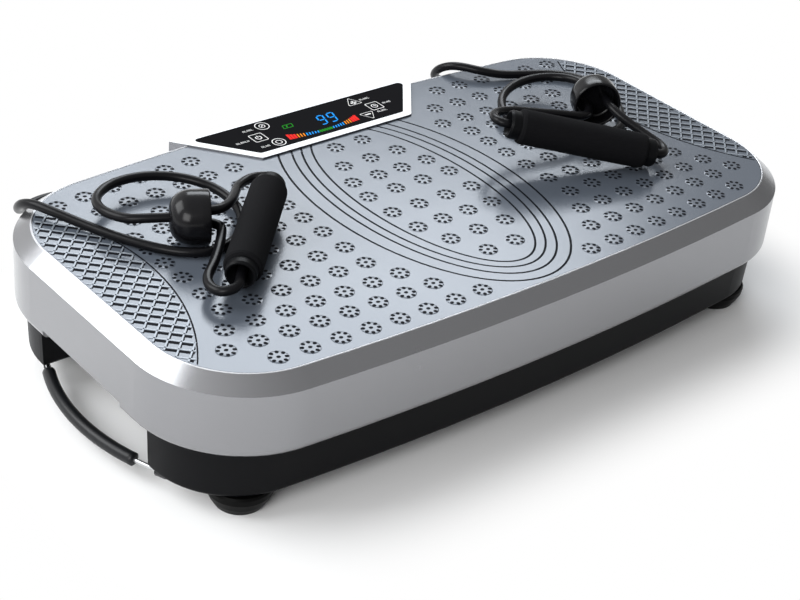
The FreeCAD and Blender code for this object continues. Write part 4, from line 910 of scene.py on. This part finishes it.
def print_power_sign(ink, centre, size):
    """Open ring with a stroke through its gap."""
    cx, cy = centre
    angles = [math.radians(125 + 290 * k / 20) for k in range(21)]
    outer = [(cx + size * math.cos(angle), cy + size * math.sin(angle)) for angle in angles]
    inner = [(cx + (x - cx) * 0.68, cy + (y - cy) * 0.68) for x, y in outer]
    ink.add_face(outer + inner[::-1], PRINT_LEVEL)
    print_bar(ink, centre, (0, size * 0.15), (0, size * 1.15), size * 0.32)


def print_nine(ink, left):
    for (ax, ay), (bx, by) in NINE:
        ax, bx = ax + DIGIT_GAP * (bx - ax), bx - DIGIT_GAP * (bx - ax)
        ay, by = ay + DIGIT_GAP * 0.7 * (by - ay), by - DIGIT_GAP * 0.7 * (by - ay)
        ends = []
        for u, v in ((ax, ay), (bx, by)):
            y = v * DIGIT_HEIGHT / 2
            ends.append((u * DIGIT_WIDTH + DIGIT_LEAN * y / DIGIT_HEIGHT, y))
        print_bar(ink, (left, DIGIT_LOW), *ends, DIGIT_STROKE)


def print_word(ink, cx, cy, letters):
    """Row of strokes that look like small capitals but can't be read."""
    wide, tall = LETTER_HALF_WIDTH, LETTER_HALF_HEIGHT
    for k in range(letters):
        centre = (cx + (k - (letters - 1) / 2) * LETTER_PITCH, cy)
        print_bar(ink, centre, (-wide, -tall), (-wide, tall), LETTER_STROKE)
        if k % 3 != 1:
            print_bar(ink, centre, (wide, -tall), (wide, tall), LETTER_STROKE)
        level = (1.1, -1.1, 0)[k % 3]
        print_bar(ink, centre, (-wide, level), (wide + 0.1, level), LETTER_STROKE)


def print_left_keys(ink):
    """Round programme key, square power key and round reset key."""
    print_ring(ink, PROGRAMME_KEY, 6.9, 6.1)
    print_ring(ink, PROGRAMME_KEY, 3.1, 2.4)
    print_bar(ink, PROGRAMME_KEY, (-1.7, -2), (1.7, 2), 0.8)
    print_key(ink, POWER_KEY, SQUARE, 1.6)
    print_power_sign(ink, (POWER_KEY[0], POWER_KEY[1] - 0.3), 3.2)
    print_ring(ink, RESET_KEY, 6.6, 5.7)
    print_ring(ink, RESET_KEY, 3.3, 2.5)


def print_right_keys(ink):
    """Plus key that points up, square clock key and minus key that points down."""
    print_key(ink, PLUS_KEY, POINTS_UP, 1.2)
    print_bar(ink, PLUS_KEY, (-3.3, -1.1), (3.3, -1.1), 2)
    print_bar(ink, PLUS_KEY, (0, -4.1), (0, 2.1), 2)
    print_key(ink, CLOCK_KEY, SQUARE, 1.6)
    print_ring(ink, CLOCK_KEY, 3.4, 2.6)
    print_bar(ink, CLOCK_KEY, (0, 0), (0, 2.2), 0.8)
    print_bar(ink, CLOCK_KEY, (0, 0), (1.8, 0), 0.8)
    print_key(ink, MINUS_KEY, POINTS_DOWN, 1.2)
    print_bar(ink, MINUS_KEY, (-3.2, 1.1), (3.2, 1.1), 1.8)


def print_scale(inks):
    """Arc of bars below the digits, taller and warmer towards its ends."""
    for k in range(SCALE_BARS):
        x = SCALE_START + SCALE_WIDTH * k / (SCALE_BARS - 1)
        reach = abs(x - SCALE_MIDDLE) / SCALE_REACH
        low = SCALE_LOW + 1.6 * reach**2
        tall = 3.2 + 6 * reach**2.2
        rank = abs(k - SCALE_BARS // 2)
        color, width = next((color, width) for limit, color, width in SCALE_COLORS if rank < limit)
        print_bar(inks[color], (x, low), (-0.6, 0), (0.9, tall), width)


def make_prints():
    inks = {name: Shape() for name in PRINT}
    print_left_keys(inks["white"])
    print_right_keys(inks["white"])
    for x, y, letters in WORDS:
        print_word(inks["white"], x, y, letters)
    for left in DIGIT_PLACES:
        print_nine(inks["blue"], left)
    print_scale(inks)
    print_band(inks["green"], rounded(BATTERY, 1), rounded(BATTERY_INSIDE, 0.4))
    print_bar(inks["green"], (-31.5, 146), (0, 0), (2, 3.6), 1.4)
    for name, ink in inks.items():
        piece("print_" + name, ink, PRINT[name], "platform")


make_bezel()
make_prints()


# --- room and light, in metres --------------------------------------------------------------------

SHADOW_MIDDLE = (0.015, -0.012, 0)
SHADOW_HALF = (0.245, 0.092, 0)
SHADOW_FADE = (0.078, 0.175)
FLOOR_HALF = 6
WHITE = (1, 1, 1, 1)


def seen_directly(tree, mirrored):
    """One for the camera and through glass, and a share of it in reflections."""
    path = tree.nodes.new("ShaderNodeLightPath")
    glossy = math_node(tree, "MULTIPLY", path.outputs["Is Glossy Ray"], mirrored)
    through = math_node(tree, "MAXIMUM", glossy, path.outputs["Is Transmission Ray"])
    return math_node(tree, "MAXIMUM", through, path.outputs["Is Camera Ray"])


def mix_shaders(tree, share, first, second, output):
    mix = tree.nodes.new("ShaderNodeMixShader")
    tree.links.new(share, mix.inputs["Fac"])
    tree.links.new(first, mix.inputs[1])
    tree.links.new(second, mix.inputs[2])
    tree.links.new(mix.outputs["Shader"], output.inputs["Surface"])


def shadow_distance(tree):
    """Distance from a rounded rectangle under the object, moved a little to the side of its shadow."""
    place = tree.nodes.new("ShaderNodeTexCoord").outputs["Object"]
    moved = vector_node(tree, "SUBTRACT", place, SHADOW_MIDDLE)
    folded = vector_node(tree, "ABSOLUTE", moved.outputs[0])
    outside = vector_node(tree, "SUBTRACT", folded.outputs[0], SHADOW_HALF)
    held = vector_node(tree, "MAXIMUM", outside.outputs[0])
    return vector_node(tree, "LENGTH", held.outputs[0]).outputs["Value"]


def white_surface(name, color):
    """White sweep: takes the object's shadow near it and runs out to plain white further away."""
    made = bpy.data.materials.new(name)
    made.use_nodes = True
    tree = made.node_tree
    shader = tree.nodes["Principled BSDF"]
    shader.inputs["Base Color"].default_value = (*color, 1)
    shader.inputs["Roughness"].default_value = 0.9
    shader.inputs["Specular IOR Level"].default_value = 0.1
    glow = tree.nodes.new("ShaderNodeEmission")
    glow.inputs["Color"].default_value = WHITE
    glow.inputs["Strength"].default_value = 1
    fade = range_node(tree, shadow_distance(tree), SHADOW_FADE, smooth=True)
    share = math_node(tree, "MULTIPLY", seen_directly(tree, 0.25), fade)
    mix_shaders(tree, share, shader.outputs["BSDF"], glow.outputs["Emission"], tree.nodes["Material Output"])
    return made


def make_floor():
    reach = FLOOR_HALF
    mesh = bpy.data.meshes.new("floor")
    corners = [(-reach, -reach, 0), (reach, -reach, 0), (reach, reach, 0), (-reach, reach, 0)]
    mesh.from_pydata(corners, [], [(0, 1, 2, 3)])
    floor = bpy.data.objects.new("floor", mesh)
    bpy.context.scene.collection.objects.link(floor)
    floor.data.materials.append(white_surface("floor_white", (0.95, 0.95, 0.95)))


def make_world():
    """Soft studio, brighter behind and to the left; on its darker side it falls off towards the horizon."""
    world = bpy.data.worlds.new("studio")
    bpy.context.scene.world = world
    world.use_nodes = True
    tree = world.node_tree
    ambient = tree.nodes["Background"]
    ambient.inputs["Color"].default_value = WHITE
    place = tree.nodes.new("ShaderNodeTexCoord").outputs["Generated"]
    across = vector_node(tree, "DOT_PRODUCT", place, (-0.72, 0.69, 0)).outputs["Value"]
    side = range_node(tree, across, (-0.8, 0.8), (0.16, 1.0))
    horizon = math_node(tree, "POWER", side, 2.5)
    rise = range_node(tree, height_of(tree, place), (0.3, 0.62), (horizon, 1.0))
    tree.links.new(math_node(tree, "MULTIPLY", side, rise), ambient.inputs["Strength"])
    backdrop = tree.nodes.new("ShaderNodeBackground")
    backdrop.inputs["Color"].default_value = WHITE
    backdrop.inputs["Strength"].default_value = 1.0
    first, second = ambient.outputs["Background"], backdrop.outputs["Background"]
    mix_shaders(tree, seen_directly(tree, 0.3), first, second, tree.nodes["World Output"])


def lamp(name, place, size, power, color=(1, 1, 1)):
    """Area lamp turned towards the object."""
    aim = Vector((0, 0, 0.1))
    data = bpy.data.lights.new(name, "AREA")
    data.color = color
    data.shape = "RECTANGLE"
    data.size, data.size_y = size
    data.energy = power
    made = bpy.data.objects.new(name, data)
    bpy.context.scene.collection.objects.link(made)
    made.location = place
    made.rotation_euler = (aim - Vector(place)).to_track_quat("-Z", "Y").to_euler()


make_floor()
make_world()
lamp("key", (1.06, 1.43, 1.5), (1.35, 0.8), 23, (0.9, 0.95, 1))
lamp("left", (-1.75, 1.2, 1.6), (1.8, 1.4), 46, (0.97, 0.99, 1))
lamp("front", (-1.45, -0.75, 0.85), (0.9, 0.8), 14)
bpy.context.scene.view_settings.view_transform = "Standard"
